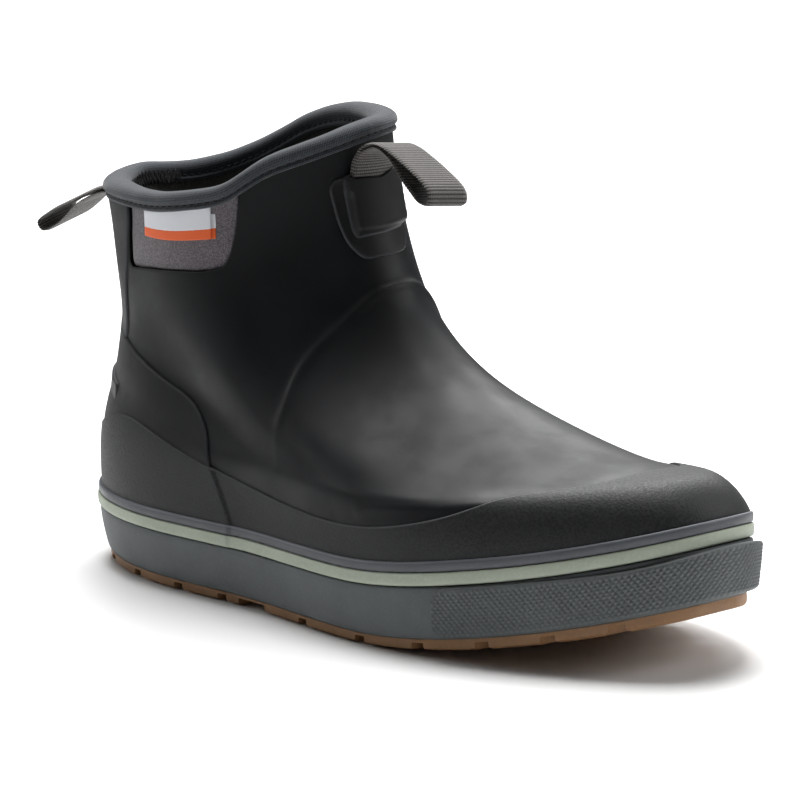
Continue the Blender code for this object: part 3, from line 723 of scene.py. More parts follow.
def half_skin_plane():
    """The plane sheet of one side of the upper, with the notch for its stretch panel cut out of the top."""
    notch = resampled(panel_line(), 0.8, closed=False)
    foot = flat_row(np.arange(0, HALF_LENGTH, 2.0), V_SCALE * SKIN_FOOT)
    column = np.linspace(SKIN_FOOT, 1.0, 250)[:, None] * [[0, V_SCALE]]
    heel_side = column + [[HALF_LENGTH, 0]]
    rim_high = np.arange(HALF_LENGTH - 2.0, notch[0, 0] + 1.0, -2.0)
    rim_low = np.arange(notch[-1, 0] - 1.0, 1.0, -2.0)
    line = np.concatenate(
        [foot, heel_side, flat_row(rim_high, V_SCALE), notch, flat_row(rim_low, V_SCALE), column[:0:-1]]
    )
    rings = []
    for step in (0.3, 0.7, 1.2, 2.0):
        ring = inset_rings(line, (step,))
        rings.append(ring[distances(ring, notch, closed=False) < 1.05 * step])
    seam = to_plane(seam_line(160))
    ahead = np.gradient(seam, axis=0)
    ahead /= np.linalg.norm(ahead, axis=1)[:, None]
    beside = np.column_stack([-ahead[:, 1], ahead[:, 0]])
    steps = (-3.6, -2.6, -1.8, -1.1, -0.5, 0, 0.5, 1.1, 1.8, 2.6, 3.6)
    lines = np.concatenate([seam + beside * step for step in steps])
    lines = lines[(lines[:, 0] > 0.8) & inside_of(lines, line)]
    free = hex_points(line, 1.9, 0.8)
    free = free[distances(free, seam, closed=False) > 4.4]
    free = free[distances(free, notch, closed=False) > 2.8]
    extra = np.concatenate(rings + [lines[distances(lines, line) > 0.5], free])
    return triangulated(line, extra)


def build_upper(m):
    """The rubber skin of the vamp and shaft. The inner side is the outer side's plane sheet, mirrored."""
    flat, faces = half_skin_plane()
    angle, v = angle_of(flat[:, 0]), flat[:, 1] / V_SCALE
    depth = skin_depth(angle, v, surface(angle, v))
    points = np.concatenate([off_upper(side * angle, v, depth) for side in (1, -1)])
    faces += [[len(flat) + k for k in reversed(face)] for face in faces]
    skin = make("rubber_upper", points, faces, m["upper"], np.tile(flat, (2, 1)), edge=0.0)
    thick = skin.modifiers.new("wall", "SOLIDIFY")
    thick.thickness = SKIN_WALL * MM
    thick.offset = -1.0
    finish_piece(skin, "boot", "upper_rubber", "vamp", "shaft")


def build_panels(m):
    """The stretch panels, a little smaller than their notches and puffed up inside their edges."""
    line = panel_line()
    top = 0.995 * V_SCALE
    line = np.concatenate([line, [[line[-1, 0], top], [line[0, 0], top]]])
    centre = line.mean(0)
    line = centre + (line - centre) * [0.985, 1.0]
    line[:, 1] = np.clip(line[:, 1] + 0.15, 0, top)

    def puffed(gap, angle, v):
        return -1.15 + quarter_round(gap, 0.35, 2.4) - 0.35

    for name, node, side in (
        ("stretch_panel_outer", "neoprene_panel_lateral", 1),
        ("stretch_panel_inner", "neoprene_panel_medial", -1),
    ):
        mirrored = line * [side, 1]
        obj = patch(name, mirrored[::side], puffed, -3.0, m["neoprene"], 1.6)
        finish_piece(obj, "boot", "neoprene", node)


def both_sides(half):
    """A closed outline from its outer-side half, which runs from one centre line point to another."""
    mirrored = [(360 - a if half[0][0] > 90 else -a, v) for a, v in reversed(half)]
    return list(half) + [p for p in mirrored if p[0] not in (half[0][0], half[-1][0])]


def overlay(name, node, half, radius, outer, material, spacing, under=OVERLAY_UNDER, rings=INSET_STEPS):
    """A moulded overlay across the heel's or the toe's centre line, from the outer-side half of its outline."""
    line = rounded(to_plane(both_sides(half)), radius)
    obj = patch(name, line, outer, under, material, spacing, rings)
    finish_piece(obj, "boot", "overlay_rubber", node)


def build_heel(m):
    """The heel counter, and the stay that runs from it up the back to the collar."""
    counter = [
        (180, 0.53), (150, 0.526), (136.5, 0.517), (123.5, 0.503), (115.5, 0.484), (109, 0.466), (106.6, 0.440),
        (107.0, 0.39), (108.6, 0.305), (108.9, 0.21), (108, 0.092), (106.5, 0.0), (106.5, -0.05), (180, -0.05),
    ]
    stay = [
        (180, 0.99), (111.6, 0.99), (113.2, 0.93), (115.8, 0.88), (119.0, 0.80), (124.5, 0.725), (129, 0.652),
        (133, 0.58), (137, 0.512), (138, 0.50), (180, 0.50),
    ]

    def counter_depth(gap, angle, v):
        return 0.05 + quarter_round(gap, 1.0, 0.8)

    def stay_depth(gap, angle, v):
        return quarter_round(gap, 0.85, 0.8)

    overlay("heel_counter_skin", "heel_counter", counter, 7, counter_depth, m["counter"], 2.2)
    overlay("heel_stay_skin", "heel_stay", stay, 3, stay_depth, m["counter"], 2.2)


MUDGUARD_FOOT = -0.08  # v of its lower edge, hidden behind the stripes


def mudguard_profile(gap, angle, v):
    return quarter_round(gap, 0.95, 0.7) + bulge(angle, v)


def build_mudguard(m):
    """The pebbled band all round the foot. Its rows follow its wavy top edge."""
    angle = all_round(1.6, kinks=True)
    top = along(MUDGUARD_TOP, angle)
    height = np.linalg.norm(surface(angle, top) - surface(angle, 0.0), axis=1)
    gaps = np.array([0, 0.08, 0.2, 0.38, 0.6, 0.9, 1.4, 2.2, 3.4])
    loops, lay, edge = [], [], []
    run = run_of(angle)
    rows = [(top * (1 - gap / height), np.full(len(angle), gap)) for gap in gaps]
    last = 1 - gaps[-1] / height
    rows += [(top * last * (1 - t), np.full(len(angle), gaps[-1] + t * 20)) for t in np.linspace(0, 1, 16)[1:]]
    rows += [(np.full(len(angle), MUDGUARD_FOOT), np.full(len(angle), 30.0))]
    for v, gap in rows:
        loops.append(off_upper(angle, v, mudguard_profile(gap, angle, v)))
        lay.append(flat_row(run, v * V_SCALE))
        # painted highlight: a narrow bright line just below the mudguard's top edge
        edge.append(np.exp(-(((gap - 0.3) / 0.3) ** 2)))
    for v in (np.full(len(angle), MUDGUARD_FOOT), top * 0.5, top):
        loops.append(off_upper(angle, v, OVERLAY_UNDER))
        lay.append(flat_row(run, v * V_SCALE))
        edge.append(np.zeros(len(angle)))
    obj = sweep("mudguard_skin", loops, m["mudguard"], lay=lay, edge=edge)
    finish_piece(obj, "boot", "overlay_rubber", "mudguard")


def build_kick_lug(m):
    """A ledge across the heel: square on top, where it stands out 4 mm, and tapering to 1 mm below."""
    half = [(180, 0.338), (143.5, 0.338), (143, 0.33), (143, 0.266), (145, 0.257), (180, 0.249)]

    def depth(gap, angle, v):
        wedge = 1.0 + 3.0 * np.clip((v - 0.25) / 0.08, 0, 1)
        return wedge * quarter_round(gap, 0.5, 0.9)

    overlay("kick_off_ledge", "kick_off_lug", half, 0.7, depth, m["counter"], 1.6, rings=(0.15, 0.35, 0.6, 1.0, 1.6))


def build_anchors(m):
    """The moulded patches that hold the pull loops' webbing."""
    front = [(0, 0.922), (22, 0.926), (24.5, 0.912), (23.2, 0.838), (20.8, 0.792), (15, 0.763), (0, 0.760)]
    pocket = [(0, 0.908), (17.6, 0.928), (18.2, 0.90), (17.8, 0.815), (16, 0.800), (0, 0.797)]
    rear = [(180, 0.905), (158, 0.905), (154, 0.89), (154, 0.73), (158, 0.715), (180, 0.71)]

    def rimmed(gap, angle, v):
        return quarter_round(gap, 0.75, 0.5) + 0.3 * np.exp(-(((gap - 0.9) / 0.5) ** 2))

    def cover(gap, angle, v):
        flat = 3.8 + 14 * (1 - np.cos(np.radians(np.minimum(np.abs(wrapped(angle)), 16))))
        rise = smooth_step(gap / (3.0 - 1.6 * smooth_step((v - 0.88) / 0.02)))
        return 0.7 + flat * rise

    def rear_cover(gap, angle, v):
        return 0.8 + 0.6 * quarter_round(gap, 1.0, 0.5) + 2.0 * smooth_step((gap - 3.0) / 3.0)

    overlay("front_anchor_skin", "front_anchor_patch", front, 5, rimmed, m["counter"], 1.8)
    steps = (0.3, 0.7, 1.1, 1.6, 2.2, 3.0, 3.8)
    overlay("front_pocket_skin", "front_loop_pocket", pocket, 2.5, cover, m["counter"], 1.4, under=-0.1, rings=steps)
    overlay("rear_anchor_skin", "rear_anchor_patch", rear, 3.5, rear_cover, m["counter"], 1.6, under=-0.1)


# ---------------------------------------------------------------- collar

BINDING_SECTION = [
    (0.15, -4.0), (0.75, -4.3), (1.3, -4.1), (1.55, -3.7), (1.5, -3.2), (1.15, -2.75), (0.8, -2.5), (0.8, -2.2),
    (1.25, -1.95), (1.8, -1.4), (2.15, -0.5), (2.15, 0.5), (1.7, 1.6), (0.8, 2.4), (-0.6, 2.9), (-2.4, 3.1),
    (-4.4, 3.0), (-6.2, 2.5), (-7.6, 1.6), (-8.4, 0.3), (-8.6, -1.2), (-8.3, -2.5), (-7.9, -3.1), (-8.0, -3.6),
    (-8.4, -4.2), (-8.4, -5.0), (-7.9, -5.6), (-7.1, -5.6), (-6.6, -4.5), (-5.0, -1.0), (-2.0, -0.4), (0.1, -1.2),
]
STITCH_PITCH = 3.6
STITCH_LENGTH = 2.3
OUTER_STITCHES = (0.75, -2.35)  # depth and height of the row outside the collar
INNER_STITCHES = (-8.05, -3.25)
TAPE_MIDDLE = -3.2  # depth halfway through the rolled tape


def collar_points(angle, depth, height):
    """Points off the collar edge: depth outward, and height above the edge or down along the upper."""
    angle, depth, height = np.broadcast_arrays(np.atleast_1d(angle).astype(float), depth, height)
    rim, out = surface(angle, 1.0), normal(angle, 1.0)
    climb = (rim - surface(angle, 0.96)) / 0.04
    rise = np.linalg.norm(climb, axis=1)
    above = rim + out * depth[:, None] + climb / rise[:, None] * height[:, None]
    below = off_upper(angle, 1 + np.minimum(height, 0) / rise, depth)
    share = smooth_step(-height / 1.5)[:, None]
    return above * (1 - share) + below * share


def collar_run():
    angle = np.linspace(0, 360, 1441)
    return angle, run_length(surface(angle, 1.0))


def build_binding(m):
    """The rolled collar tape, pulled in a little at every stitch, and its two rows of stitches."""
    fine, run = collar_run()
    length = run[-1]
    stitches = round(length / STITCH_PITCH)
    per_stitch = 4
    at = np.arange(stitches * per_stitch) * length / (stitches * per_stitch)
    angle = np.interp(at, run, fine)
    pull = 0.5 + 0.5 * np.cos(2 * np.pi * at * stitches / length)
    rng = np.random.default_rng(4)
    terms = zip((3, 5, 9, 14, 23), (0.16, 0.12, 0.1, 0.08, 0.05), rng.uniform(0, FULL_TURN, 5))
    waves = sum(a * np.sin(2 * np.pi * k * at / length + p) for k, a, p in terms)
    section = np.array(BINDING_SECTION)
    loops, lay = [], []
    around = run_length(section)
    for (depth, height), across in zip(section, around):
        near_groove = math.exp(-(((height - OUTER_STITCHES[1]) / 0.9) ** 2)) * (1 if depth > 0 else 0.6)
        outward = 1 if depth > TAPE_MIDDLE else -1
        d = depth + outward * (waves * 0.8 - 0.28 * pull * near_groove)
        h = height + waves * (0.5 if height > 0 else 0.15)
        loops.append(collar_points(angle, d, h))
        lay.append(flat_row(at, across))
    obj = sweep("collar_tape", loops, m["binding"], lay=lay, sharp=80)
    finish_piece(obj, "boot", "binding_tape", "collar_binding")
    outer = stitch_row(angle_pairs(stitches, run, fine, 0.0), *OUTER_STITCHES)
    inner = stitch_row(angle_pairs(stitches, run, fine, 0.5), *INNER_STITCHES)
    for name, found in (("collar_stitches_outer", outer), ("collar_stitches_inner", inner)):
        obj = tubes(name, found, 0.32, m["thread"])
        finish_piece(obj, "boot", "binding_tape")


def angle_pairs(count, run, fine, phase):
    """Start, middle and end angles of each stitch in a row round the collar."""
    pitch = run[-1] / count
    centre = (np.arange(count) + phase) * pitch
    parts = [centre + STITCH_LENGTH * share for share in (-0.5, -0.25, 0, 0.25, 0.5)]
    return np.interp(np.array(parts).T % run[-1], run, fine)


def stitch_row(angles, depth, height):
    """Lines of points for stitches that dive into the cloth at both ends."""
    dive = np.array([-0.45, 0.05, 0.15, 0.05, -0.45]) * (1 if depth > 0 else -1)
    return [collar_points(row, depth + dive, height) for row in angles]


def tubes(name, lines, radius, material, sides=6):
    """Many short round threads in one mesh. Each line of points becomes one closed tube."""
    points, faces, lay = [], [], []
    for line in lines:
        line = np.asarray(line)
        ahead = np.gradient(line, axis=0)
        ahead /= np.linalg.norm(ahead, axis=1)[:, None] + 1e-9
        helper = np.where(np.abs(ahead[:, 2:3]) > 0.9, [[1.0, 0, 0]], [[0, 0, 1.0]])
        side = np.cross(ahead, helper)
        side /= np.linalg.norm(side, axis=1)[:, None]
        up = np.cross(side, ahead)
        start, run = len(points), run_length(line)
        for k, here in enumerate(line):
            for s in range(sides):
                turn = 2 * math.pi * s / sides
                points.append(here + radius * (side[k] * math.cos(turn) + up[k] * math.sin(turn)))
                lay.append((run[k], s * 0.3))
        for k in range(len(line) - 1):
            for s in range(sides):
                a, b = start + k * sides + s, start + k * sides + (s + 1) % sides
                faces.append([a, b, b + sides, a + sides])
        faces.append([start + s for s in reversed(range(sides))])
        faces.append([start + (len(line) - 1) * sides + s for s in range(sides)])
    return make(name, points, faces, material, np.array(lay))


def build_heel_zigzag(m):
    """Rows of black overlock thread across the inside of the collar at the heel."""
    lines = []
    for row in range(4):
        count = 56
        angle = np.linspace(150 + 2.0 * row, 204 - 1.5 * row, count)
        low = -3.4 - 0.9 * row
        zig = np.where(np.arange(count) % 2 == 0, low, low + 2.4)
        depth = -8.35 + 0.25 * np.sin(np.arange(count) * 1.7 + row)
        lines.append(collar_points(angle, depth - 0.1 * row, zig))
    obj = tubes("heel_zigzag_thread", lines, 0.34, m["thread"])
    finish_piece(obj, "boot", "binding_tape")


LINING_OUTER = -3.7
LINING_INNER = -6.6


def build_lining(m):
    """The cloth inside, from the collar down to the footbed, with slack waves in it."""
    angle = all_round(3.0)
    run = run_of(angle)
    loops, lay = [], []
    levels = np.linspace(0.995, 0.02, 60)

    def inner_depth(v):
        heel = smooth_step((np.abs(wrapped(angle)) - 100) / 8) * (1 - smooth_step((v - 0.42) / 0.06))
        toe = (1 - smooth_step((np.abs(wrapped(angle)) - 48) / 8)) * (1 - smooth_step((v - 0.36) / 0.06))
        slack = 0.3 * np.sin(run / 17 + 9 * v) * np.sin(v * 21 + run / 60)
        return LINING_INNER - 1.4 * np.maximum(heel, toe) + slack * (1 - smooth_step((v - 0.9) / 0.06))

    for v in levels:
        loops.append(off_upper(angle, v, inner_depth(v)))
        lay.append(flat_row(run, v * V_SCALE))
    for v in levels[::-1]:
        loops.append(off_upper(angle, v, LINING_OUTER))
        lay.append(flat_row(run, v * V_SCALE))
    obj = sweep("cloth_lining", loops, m["lining"], lay=lay, sharp=60)
    finish_piece(obj, "boot", "lining_cloth", "lining")


# ---------------------------------------------------------------- label


LABEL_ENDS = (101.2, 69.4)  # angles of its two sides at the top
LABEL_TOP = 0.987
LABEL_HEIGHT = 10.2
LABEL_THICKNESS = 0.22


def build_label(m):
    """A folded woven label, sewn in under the collar tape at its top and hanging over the stretch panel."""
    columns, rows = 60, 26
    across, fall = (grid.ravel() for grid in np.meshgrid(np.linspace(0, 1, columns), np.linspace(0, 1, rows)))
    corners = [r * columns + c for r in range(rows - 1) for c in range(columns - 1)]
    faces = [[a, a + 1, a + columns + 1, a + columns] for a in corners]
    lift = 0.35 + 0.9 * fall**1.6 * (0.6 + 0.5 * across) + 0.18 * np.sin(3.0 * across + 0.5) * fall
    for layer, (name, nodes) in enumerate((("side_label_front", ["side_label"]), ("side_label_back", []))):
        angle = LABEL_ENDS[0] + (LABEL_ENDS[1] - LABEL_ENDS[0]) * across + 0.6 * fall - 1.3 * layer
        v = LABEL_TOP - LABEL_HEIGHT * fall / 118.0  # one v is 118 mm here
        points = off_upper(angle, v, lift - 0.8 - layer * (0.5 + 0.35 * across))
        obj = make(name, points, faces, m["label"], flat_row(across * 31.0, LABEL_HEIGHT * (1 - fall)))
        thick = obj.modifiers.new("cloth", "SOLIDIFY")
        thick.thickness = LABEL_THICKNESS * MM
        thick.offset = -1.0
        finish_piece(obj, "boot", "label_cloth", *nodes)


# ---------------------------------------------------------------- pull loops

WEB_WIDTH = 20.0
WEB_THICKNESS = 1.05
RIB_PITCH = 1.25
RIB_HEIGHT = 0.13
FRONT_ROUTE = [
    (-14.9, 141.3), (-15.1, 151.3), (-14.8, 160.7), (-13.8, 164.6), (-11.5, 167.9), (-9.0, 170.7),
    (-5.6, 171.8), (-1.2, 171.3), (4.0, 169.2), (9.5, 166.5), (15.5, 163.2), (20.8, 159.9), (23.6, 156.5),
    (23.0, 152.9), (19.6, 152.6), (15.3, 155.5), (11.2, 159.1), (7.1, 163.5), (3.6, 167.2), (-0.6, 169.7),
    (-5.0, 170.5), (-8.3, 169.3), (-10.9, 166.7), (-12.7, 163.3), (-13.6, 159.9), (-14.0, 151.3),
    (-13.8, 141.3),
]
REAR_ROUTE = [
    (-148.8, 120.5), (-149.2, 130.5), (-150.6, 137.1), (-154.2, 140.4), (-159.0, 140.2), (-164.0, 138.5),
    (-170.7, 135.8), (-179.9, 131.9), (-189.1, 128.1), (-195.2, 124.9), (-198.3, 122.2), (-196.4, 119.9),
    (-191.6, 120.3), (-186.4, 122.9), (-181.0, 126.7), (-176.6, 130.5), (-170.5, 134.0), (-164.2, 136.8),
    (-158.8, 138.5), (-154.6, 138.5), (-152.0, 135.9), (-150.6, 130.5), (-150.2, 120.5),
]


def ribbon_line(route, spacing):
    """A smooth line through a route: lengths along it, its points and the directions to its side."""
    route = np.array(route, float)
    knots = run_length(route)
    at = np.linspace(0, knots[-1], int(knots[-1] / spacing) + 1)
    line = spline_basis(knots, at) @ route
    ahead = np.gradient(line, axis=0)
    ahead /= np.linalg.norm(ahead, axis=1)[:, None]
    return at, line, np.stack([-ahead[:, 1], ahead[:, 0]], axis=1)


def webbing_loop(name, route, lean, root_curve, material):
    """Grosgrain webbing along its route. lean(x) lifts its inner edge, and its root curves round the boot."""
    at, line, side = ribbon_line(route, RIB_PITCH / 5)
    rib = RIB_HEIGHT * np.abs(np.sin(np.pi * at / RIB_PITCH)) - 0.06
    across = np.concatenate([np.linspace(-1, 1, 15), np.linspace(1, -1, 15)])
    face = np.concatenate([np.ones(15), -np.ones(15)])
    edge_round = 0.5 * WEB_THICKNESS * np.sqrt(np.clip(1 - (np.abs(across) - 0.965).clip(0) ** 2 / 0.035**2, 0.02, 1))
    loops, lay = [], []
    lifted = lean(line[:, 0])
    hug = root_curve * smooth_step(2 - np.abs(line[:, 0] - route[0][0]) / 4)
    for a, f, half in zip(across, face, edge_round):
        offset = side * ((half + rib * (abs(a) < 0.97)) * f)[:, None]
        y = a * WEB_WIDTH / 2 + 0.12 * np.sin(2 * np.pi * at / RIB_PITCH) * (abs(a) > 0.95)
        z = line[:, 1] + offset[:, 1] + (a + 1) / 2 * lifted
        loops.append(np.column_stack([line[:, 0] + offset[:, 0] - hug * a * a, y, z]))
        lay.append(flat_row(at, a * WEB_WIDTH / 2))
    return sweep(name, loops, material, closed_ring=False, lay=lay, sharp=75)


def build_loops(m):
    def front_lean(x):
        return -1.9 * smooth_step((x + 13.5) / 6)

    def rear_lean(x):
        return 5.6 * smooth_step((-158 - x) / 26)

    front = webbing_loop("front_webbing_loop", FRONT_ROUTE, front_lean, 1.7, m["webbing"])
    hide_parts("front_pull_loop", "front_loop_tail")
    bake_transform(front)
    rear = webbing_loop("rear_webbing_loop", REAR_ROUTE, rear_lean, -1.2, m["webbing"])
    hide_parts("rear_pull_loop", "rear_loop_tail")
    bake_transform(rear)


# ---------------------------------------------------------------- sole


def sole_ring(name, section, material, extra=None, spacing=1.6, sharp=50, edge_highlight=()):
    """A closed ring round the sole. The section is a list of (out, level), extra(angle) moves it out, and the last
    argument lists the section points whose edges get a painted highlight."""
    angle = all_round(spacing, kinks=extra is not None)
    more = extra(angle) if extra else 0.0
    run = run_of(angle)
    section_run = run_length(np.array(section, float))
    loops, lay, edge = [], [], []
    for k, (out, level) in enumerate(section):
        loops.append(off_sole(angle, level, out + more))
        lay.append(flat_row(run, section_run[k]))
        edge.append(np.full(len(run), 1.0 if k in edge_highlight else 0.0))
    return sweep(name, loops, material, lay=lay, edge=edge, sharp=sharp)


def build_stripes(m):
    pale = [
        (-0.3, 22.2), (1.4, 22.0), (2.1, 22.15), (2.4, 22.6), (2.5, 23.6), (2.5, 24.8), (2.4, 25.8), (2.1, 26.3),
        (1.4, 26.45), (-0.3, 26.4),
    ]
    # the pale stripe's two rounded corners get a painted highlight
    obj = sole_ring("stripe_pale", pale, m["pale"], bulge, edge_highlight=(3, 6))
    finish_piece(obj, "boot", "pale_stripe", "foxing_stripe_pale")
    dark = [
        (-0.3, 26.6), (1.2, 26.55), (1.8, 26.7), (2.05, 27.2), (2.1, 28.2), (2.05, 29.2), (1.85, 29.8), (1.4, 30.1),
        (0.6, 30.2), (-0.3, 30.1),
    ]
    # the dark stripe's top edge gets a painted highlight
    obj = sole_ring("stripe_dark", dark, m["dark"], bulge, edge_highlight=(6, 7))
    finish_piece(obj, "boot", "dark_stripe", "foxing_stripe_dark")


def build_sidewall(m):
    """The grey wall round the foot, with rounded edges and a faint waviness."""
    angle = all_round(1.8)
    run = run_of(angle)
    levels = np.array([WALL_FOOT, 3.75, 4.0, 4.6, 5.6, 7, 9, 11, 13, 15, 17, 19, 20.4, 21.1, 21.5, WALL_TOP])
    pull = np.array([-4.0, -1.6, -0.7, -0.25, -0.05, 0, 0, 0, 0, 0, 0, 0, -0.05, -0.2, -0.5, -1.2])
    rng = np.random.default_rng(11)
    terms = zip((7, 13, 19), rng.uniform(0, FULL_TURN, 3))
    waves = sum(0.07 * np.sin(2 * np.pi * k * run / run[-1] + p) for k, p in terms)
    loops = [off_sole(angle, level, wall_out(angle, level) + p + waves) for level, p in zip(levels, pull)]
    loops += [off_sole(angle, WALL_TOP, -3.2), off_sole(angle, WALL_FOOT, -7.0)]
    heights = np.concatenate([levels, [24, 30]])
    lay = [flat_row(run, h) for h in heights]
    # painted highlight: the two rows on the rounded edges are lightened through the edge attribute
    edge = [np.full(len(run), 0.8 if k in (3, 13) else 0.0) for k in range(len(heights))]
    obj = sweep("sidewall_band", loops, m["wall"], lay=lay, edge=edge, sharp=50)
    finish_piece(obj, "boot", "sidewall_rubber", "sidewall")


BUMPER_END = 62.0
KNURL_ALONG = 1.95
KNURL_UP = 2.3
BUMPER_CORNER = 6.0


def build_bumper(m):
    """The knurled toe bumper: a band round the toe with rounded ends and rows of small lozenges."""
    run_end = float(run_of(BUMPER_END))
    run = np.arange(-run_end, run_end + 0.2, 0.33)
    run[-1] = run_end
    angle = angle_of(run)
    from_end = run_end - np.abs(run)
    into_corner = np.clip(BUMPER_CORNER - from_end, 0, BUMPER_CORNER)
    cut = BUMPER_CORNER - np.sqrt(np.clip(BUMPER_CORNER**2 - into_corner**2, 0, None))
    thick = 1.2 + 2.3 * smooth_step(1 - np.abs(angle) / BUMPER_END)
    arch = 1.5 * np.exp(-(((np.abs(angle) - 25) / 17.0) ** 2))
    low = 4.4 + 0.6 * cut
    high = 21.4 - arch - cut
    steps = np.concatenate([[0, 0.012, 0.03, 0.06], np.linspace(0.09, 0.91, 54), [0.94, 0.97, 0.988, 1]])
    loops, lay, edge = [], [], []
    for w in steps:
        level = low + (high - low) * w
        gap = np.minimum(np.minimum(level - low, high - level), from_end)
        u, h = run / KNURL_ALONG, level / KNURL_UP
        first, second = np.abs(np.sin(np.pi * (u + h))), np.abs(np.sin(np.pi * (u - h)))
        lozenge = np.minimum(first, second) ** 0.55
        knurl = (0.85 * lozenge - 0.45) * smooth_step((gap - 0.5) / 0.8)
        out = wall_out(angle, level) + 0.1 + quarter_round(gap, 1.0, 0.9) * thick + knurl
        loops.append(off_sole(angle, level, out))
        lay.append(flat_row(run, level))
        # painted light and shade: lozenge tops and the rounded edge are lightened, the grooves between them stay
        # darker
        edge.append(np.clip(np.exp(-gap / 0.4) * 0.5 + 0.6 * lozenge * (gap > 0.9), 0, 1))
    for w in (1, 0.5, 0):
        level = low + (high - low) * w
        loops.append(off_sole(angle, level, wall_out(angle, level) - 0.3))
        lay.append(flat_row(run, level))
        edge.append(np.zeros(len(run)))
    obj = sweep("toe_bumper_knurled", loops, m["bumper"], lay, edge, closed_ring=False, sharp=75)
    finish_piece(obj, "boot", "sidewall_rubber", "toe_bumper")


TREAD_TOP = 3.9
GROOVE_DEPTH = 3.0
GROOVE_WIDTH = 4.6
GROOVES = (-125.0, -99.0, -72.0, -47.5, 1.0, 34.0, 61.0, 85.5, 107.5, 128.0)  # middle of each cross groove
ARCH_GAP = (-38.0, -23.0)
SIPE_DEPTH = 1.3


def tread_profile():
    """(x, lift, sipe) along the outsole from heel to toe. Lift is 1 in a groove, and sipe is 1 in a fine cut."""
    cuts = sorted([(x - GROOVE_WIDTH / 2, x + GROOVE_WIDTH / 2) for x in GROOVES] + [ARCH_GAP])
    heel, toe = RINGS[0, 0] + 0.6, RINGS[0, 2] - 0.6
    stations = []
    edges = [heel] + [x for cut in cuts for x in cut] + [toe]
    for start, end in zip(edges[::2], edges[1::2]):
        body = np.linspace(start + 1.6, end - 1.6, max(3, int((end - start) / 2.2)))
        sipes = [start + (end - start) * share for share in (1 / 3, 2 / 3)] if end - start > 9 else []
        stations += [(start, 0.9, 0), (start + 0.12, 0.45, 0), (start + 0.5, 0.14, 0), (start + 1.0, 0.03, 0)]
        stations += [(x, 0.0, 0) for x in body if all(abs(x - sipe) > 0.9 for sipe in sipes)]
        for sipe in sipes:
            stations += [(sipe - 0.45, 0, 0), (sipe - 0.38, 0, 1), (sipe + 0.38, 0, 1), (sipe + 0.45, 0, 0)]
        stations += [(end - 1.0, 0.03, 0), (end - 0.5, 0.14, 0), (end - 0.12, 0.45, 0), (end, 0.9, 0)]
    for start, end in cuts:
        stations += [(start + 0.25, 1.0, 0), ((start + end) / 2, 1.0, 0), (end - 0.25, 1.0, 0)]
    return sorted(stations)


def build_outsole(m):
    """The gum tread. Its cross lines bow forward, so the lugs are arcs with fine cuts across them."""
    stations = np.array(tread_profile())
    x, lift, sipe = stations.T
    heel, toe = RINGS[0, 0], RINGS[0, 2]
    angle = np.degrees(np.arccos(np.clip(2 * (x - heel) / (toe - heel) - 1, -1, 1)))
    inset = wall_out(angle, 3.8) - 0.5
    bow = 7.0 * smooth_step((x - heel) / 60) * smooth_step((toe - x) / 60)
    edge_steps = np.array([0.89, 0.935, 0.965, 0.985, 1])
    across = np.concatenate([-edge_steps[::-1], np.linspace(-0.84, 0.84, 29), edge_steps])
    lines, lay = [], []
    sides = [off_sole(side * angle, 0.0, inset) for side in (1, -1)]
    tops = [off_sole(side * angle, TREAD_TOP, inset) for side in (1, -1)]
    middles = [off_sole(side * angle, 2.0, inset + 0.15) for side in (1, -1)]
    for t in across:
        share = (t + 1) / 2
        point = sides[0] * (1 - share) + sides[1] * share
        point[:, 0] += bow * (1 - t * t)
        round_up = 0.9 * np.clip((abs(t) - 0.93) / 0.07, 0, 1) ** 2
        cut = SIPE_DEPTH * sipe * float(smooth_step((0.90 - abs(t)) / 0.05))
        point[:, 2] = toe_lift(point[:, 0]) + np.maximum(GROOVE_DEPTH * lift, round_up) + cut
        lines.append(point)
        lay.append(flat_row(x, t * 45))
    order = [tops[0], middles[0]] + lines + [middles[1], tops[1]]
    flat_lay = flat_row(x, 0.0)
    lay = [flat_lay, flat_lay] + lay + [flat_lay, flat_lay]
    for k, side in ((1, 0), (len(order) - 2, 1)):
        order[k][:, 2] = np.maximum(order[k][:, 2], toe_lift(order[k][:, 0]) + GROOVE_DEPTH * lift + 0.2)
    obj = sweep("gum_outsole", order, m["gum"], closed_ring=False, lay=lay, edge=0.0, sharp=35)
    finish_piece(obj, "boot", "gum_rubber", "outsole")


def build_footbed(m):
    """The cushioned footbed: crowned in the middle, and raised at the edge round the heel and the arch."""
    columns = even_angles(0, 180, 3.0)
    outer, inner = off_sole(columns, 29.3, -9.3), off_sole(-columns, 29.3, -9.3)
    across = np.linspace(-1, 1, 41)
    rows_top, rows_low, lay = [], [], []
    for t in across:
        share = (t + 1) / 2
        point = outer * (1 - share) + inner * share
        front = front_share(columns)
        cup = 2.2 * smooth_step((0.5 - front) / 0.3) * np.abs(t) ** 3
        arch = 1.8 * np.exp(-(((front - 0.42) / 0.14) ** 2)) * smooth_step(t) ** 2
        crown = 0.5 * (1 - t * t) * smooth_step((front - 0.5) / 0.3)
        soft = -1.1 * np.clip((np.abs(t) - 0.965) / 0.035, 0, 1) ** 2
        top = point.copy()
        top[:, 2] += cup + arch + crown + soft - 0.3
        low = point.copy()
        low[:, 2] -= 4.6
        rows_top.append(top)
        rows_low.append(low)
        lay.append(flat_row(run_of(columns), t * 45))
    loops = rows_top + rows_low[::-1]
    obj = sweep("padded_footbed", loops, m["cover"], closed_ring=False, lay=lay + lay[::-1], sharp=60)
    finish_piece(obj, "boot", "foam", "footbed")


def dress_inner_nodes(m):
    """Carried-over CAD pieces inside the boot."""
    for node, material in (
        ("midsole", "foam"), ("insole_board", "board"), ("heel_stiffener", "board"), ("toe_puff", "board"),
    ):
        obj = frame["nodes"][node]
        obj.data.materials.clear()
        obj.data.materials.append(m[material])


# ---------------------------------------------------------------- stage


